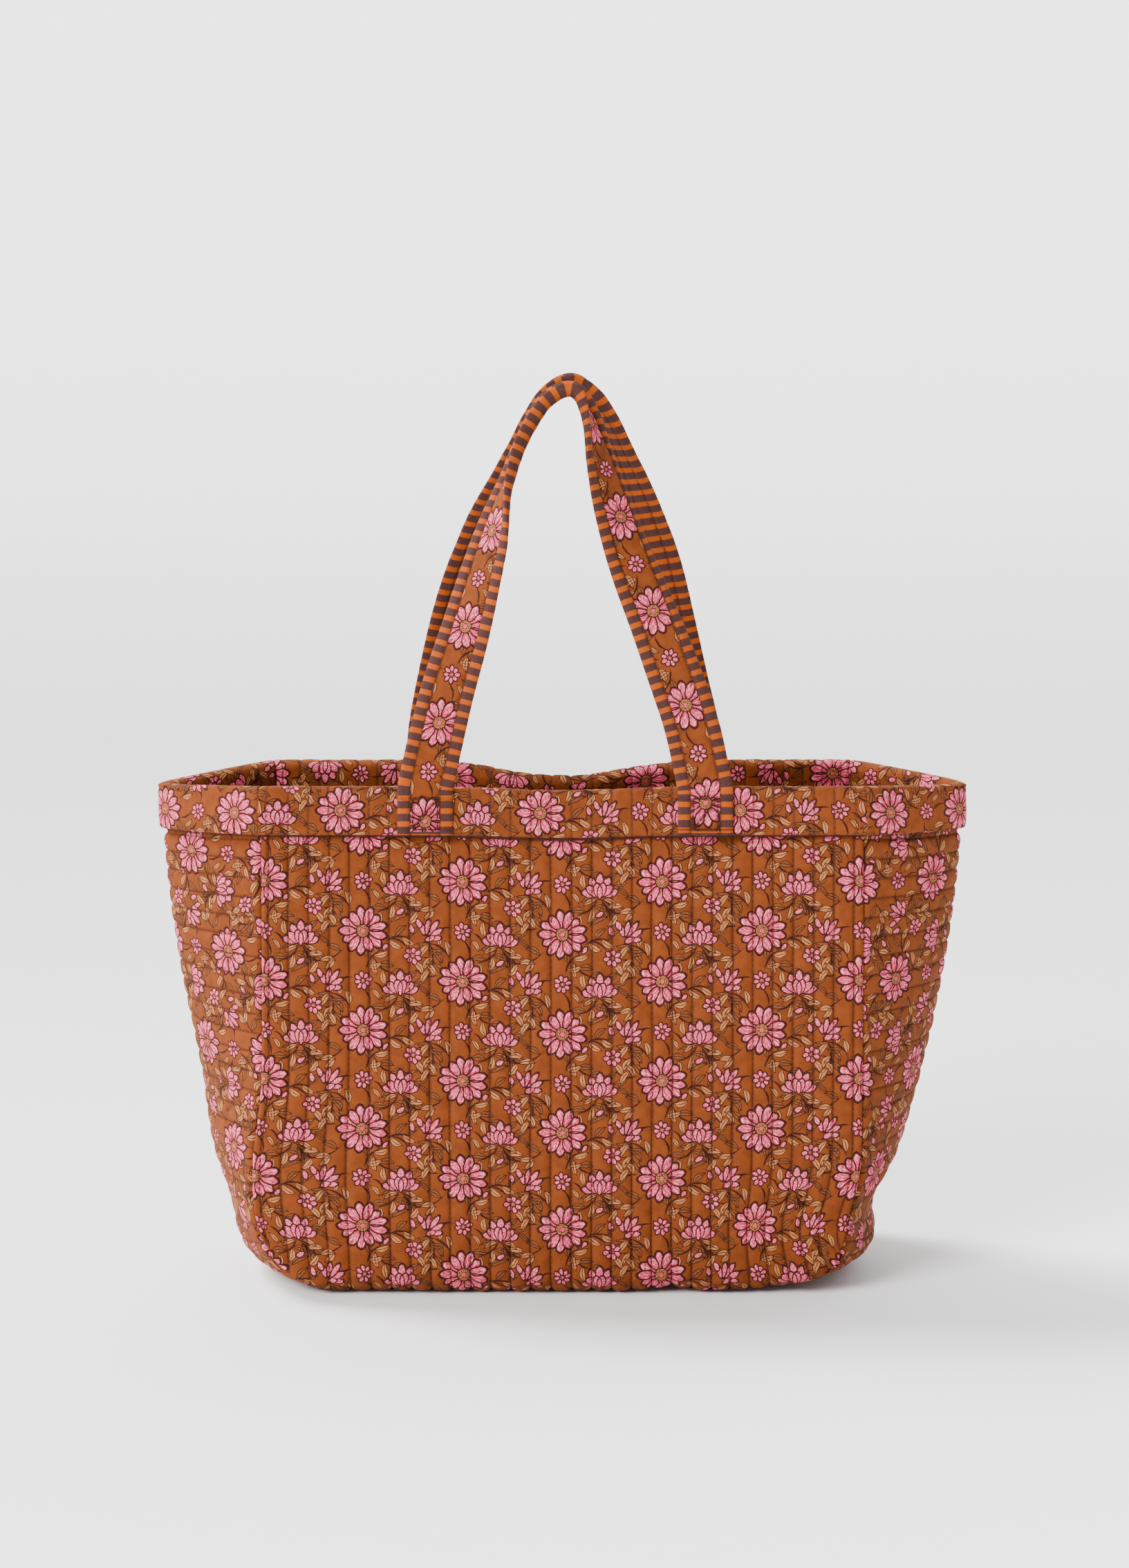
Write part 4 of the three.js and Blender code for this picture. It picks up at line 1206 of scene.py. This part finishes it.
def add_stitching(name, side, x):
    low, top, across, face = tab_frame(side, x)
    up = (top - low) / np.linalg.norm(top - low)
    outside = np.cross(across, up)
    outside *= np.sign(outside @ face)
    corners = [(-BOX_SIDE, BOX_FOOT), (BOX_SIDE, BOX_FOOT), (BOX_SIDE, BOX_TOP), (-BOX_SIDE, BOX_TOP)]
    vertices, faces, uvs = [], [], []
    turns = np.linspace(0, 2 * np.pi, STITCH_SIDES + 1)[:-1]
    for start, stop in ((0, 1), (1, 2), (2, 3), (3, 0), (0, 2)):
        p0, p1 = np.array(corners[start]), np.array(corners[stop])
        run = np.linalg.norm(p1 - p0)
        step = run / max(1, round(run / (STITCH_LENGTH + STITCH_GAP)))
        direction = (p1 - p0) / run
        sideways = np.array([-direction[1], direction[0]])
        for k in range(int(round(run / step))):
            first = len(vertices)
            for share, wide, arch in STITCH_RINGS:
                middle = p0 + direction * (k * step + STITCH_GAP / 2 + share * (step - STITCH_GAP))
                radius = STITCH_R * wide
                for angle in turns:
                    flat = middle + sideways * radius * math.cos(angle)
                    height = STITCH_BED + arch + radius * math.sin(angle)
                    vertices.append(low + across * flat[0] + up * flat[1] + outside * height)
                    uvs.append((k * step + STITCH_GAP / 2 + share * step, radius * angle))
            faces += grid_faces(len(STITCH_RINGS), STITCH_SIDES, first, closed=True).tolist()
            end = list(range(STITCH_SIDES))
            faces += [[first + j for j in end[::-1]], [len(vertices) - STITCH_SIDES + j for j in end]]
    piece = add_poly_mesh(f"{name}_thread", vertices, faces, uvs, None, [THREAD])
    ride_bag(piece, f"{name}_stitching")


for handle_name, loop in LOOPS.items():
    for end_name, x in zip(("left", "right"), TAB_X):
        add_stitching(f"{handle_name}_{end_name}_tab", loop["side"], x)

# ---- Bound seam allowances inside
TAPE_REACH, TAPE_HALF, TAPE_THICK = 9.8, 4.2, 1.15  # its middle's distance from the seam, and half its size
TAPE_WAVE = 0.5


def add_seam_tape(name, side):
    heights = np.linspace(CORNER_Z, BAND_FOOT, 60)[1:]
    angle = np.linspace(0, np.pi / 2, 20)
    flat = np.linspace(-FLAT_HALF, FLAT_HALF, 80)[1:-1]
    corners = FLAT_HALF + CORNER_R * np.cos(angle), FLAT_HALF + CORNER_R * np.sin(angle)
    hem = np.concatenate([-corners[0], flat, corners[1]])
    upright = np.full(len(heights), PANEL_HALF)
    x = np.concatenate([-upright, hem, upright])
    z = np.concatenate([heights[::-1], hem_height(hem), heights])
    seam = settle(panel_point(side, x, z))
    along = np.gradient(seam, axis=0)
    along /= np.linalg.norm(along, axis=1, keepdims=True)
    in_x = np.where(np.abs(x) > FLAT_HALF, (FLAT_HALF * np.sign(x) - x) / CORNER_R, 0)
    in_z = np.where(z < CORNER_Z, (CORNER_Z - z) / CORNER_R, 0)
    on_hem = np.clip((CORNER_Z - z) / CORNER_R, 0, 1)
    inward = np.stack([in_x, -side * (1 - on_hem), in_z], -1)
    inward /= np.linalg.norm(inward, axis=1, keepdims=True)
    wide = np.cross(along, inward)
    wide /= np.linalg.norm(wide, axis=1, keepdims=True)
    turn = np.linspace(0, 2 * np.pi, 17)[:-1]
    wave = TAPE_WAVE * np.sin(np.arange(len(seam)) * 0.9)
    reach = TAPE_REACH + TAPE_HALF * np.cos(turn)
    thick = TAPE_THICK * np.sin(turn)
    lift = thick[None, :] + wave[:, None] * (reach[None] / (TAPE_REACH + TAPE_HALF)) ** 2
    ring = seam[:, None] + inward[:, None] * reach[None, :, None] + wide[:, None] * lift[..., None]
    rows = len(turn)
    faces = grid_faces(len(seam), rows, closed=True).tolist()
    last = (len(seam) - 1) * rows
    faces += [list(range(rows))[::-1], [last + k for k in range(rows)]]
    length = cloth_length(seam, 0)
    uv = np.stack(np.broadcast_arrays(turn[None] * 3, length[:, None]), -1).reshape(-1, 2)
    piece = add_poly_mesh(f"{name}_seam_tape", ring.reshape(-1, 3), faces, uv, None, [STRIPES])
    ride_bag(piece, f"{name}_seam_binding")


add_seam_tape("front", -1)
add_seam_tape("back", 1)

# ---- Floor and light
FLOOR_FRONT, FLOOR_BACK, FLOOR_HALF, WALL_TOP = -7.0, 2.6, 9.0, 8.0
SWEEP_R = 1.6
KEY_FROM, KEY_STRENGTH = (-0.58, 0.36, 0.76), 10.6
FILL_FROM, FILL_STRENGTH = (-0.56, -0.62, 0.55), 4.9
SOFTNESS = math.radians(26)
SKY_STRENGTH = 0.50
PAPER = (0.90, 0.90, 0.90, 1)
WALL_GLOW = 1.38  # painted light: the backdrop glows above the sweep, in place of a lamp behind it


def add_studio():
    """A sheet of pale paper that curves up behind the bag and glows where it stands upright, as painted
    light; a soft high light and even sky light.
    """
    turn = np.linspace(0, np.pi / 2, 24)
    y = np.concatenate([[FLOOR_FRONT], FLOOR_BACK + SWEEP_R * np.sin(turn), [FLOOR_BACK + SWEEP_R]])
    z = np.concatenate([[0.0], SWEEP_R * (1 - np.cos(turn)), [WALL_TOP]])
    points = np.stack([np.stack([np.full(len(y), x), y, z], -1) for x in (-FLOOR_HALF, FLOOR_HALF)])
    mesh = bpy.data.meshes.new("floor")
    faces = grid_faces(2, len(y)).tolist()
    mesh.from_pydata(points.reshape(-1, 3).tolist(), [], faces)
    mesh.polygons.foreach_set("use_smooth", np.ones(len(faces), bool))
    floor = place("floor", mesh)
    material, g, shader = new_material("paper", 0.95)
    at = g.node("ShaderNodeTexCoord").outputs["Object"]
    g.plug(shader.inputs["Base Color"], g.mix(g.noise(at, 600, 2), PAPER, (0.895, 0.895, 0.895, 1)))
    shader.inputs["Emission Color"].default_value = (1, 1, 1, 1)
    # Painted light: the upright part of the paper glows, standing in for a lamp behind it.
    steep = g.step(g.split(g.node("ShaderNodeNewGeometry").outputs["Normal"])[1], 0.0, -1.0)
    g.plug(shader.inputs["Emission Strength"], g.math("MULTIPLY", steep, WALL_GLOW))
    mesh.materials.append(material)

    for name, come_from, strength in (("key", KEY_FROM, KEY_STRENGTH), ("fill", FILL_FROM, FILL_STRENGTH)):
        data = bpy.data.lights.new(name, "SUN")
        data.energy, data.angle = strength, SOFTNESS
        light = place(name, data)
        light.rotation_mode = "QUATERNION"
        light.rotation_quaternion = Vector(come_from).to_track_quat("Z", "Y")
    world = bpy.data.worlds.new("world")
    world.use_nodes = True
    sky = world.node_tree.nodes["Background"]
    sky.inputs["Color"].default_value = (1, 1, 1, 1)
    sky.inputs["Strength"].default_value = SKY_STRENGTH
    bpy.context.scene.world = world


add_studio()
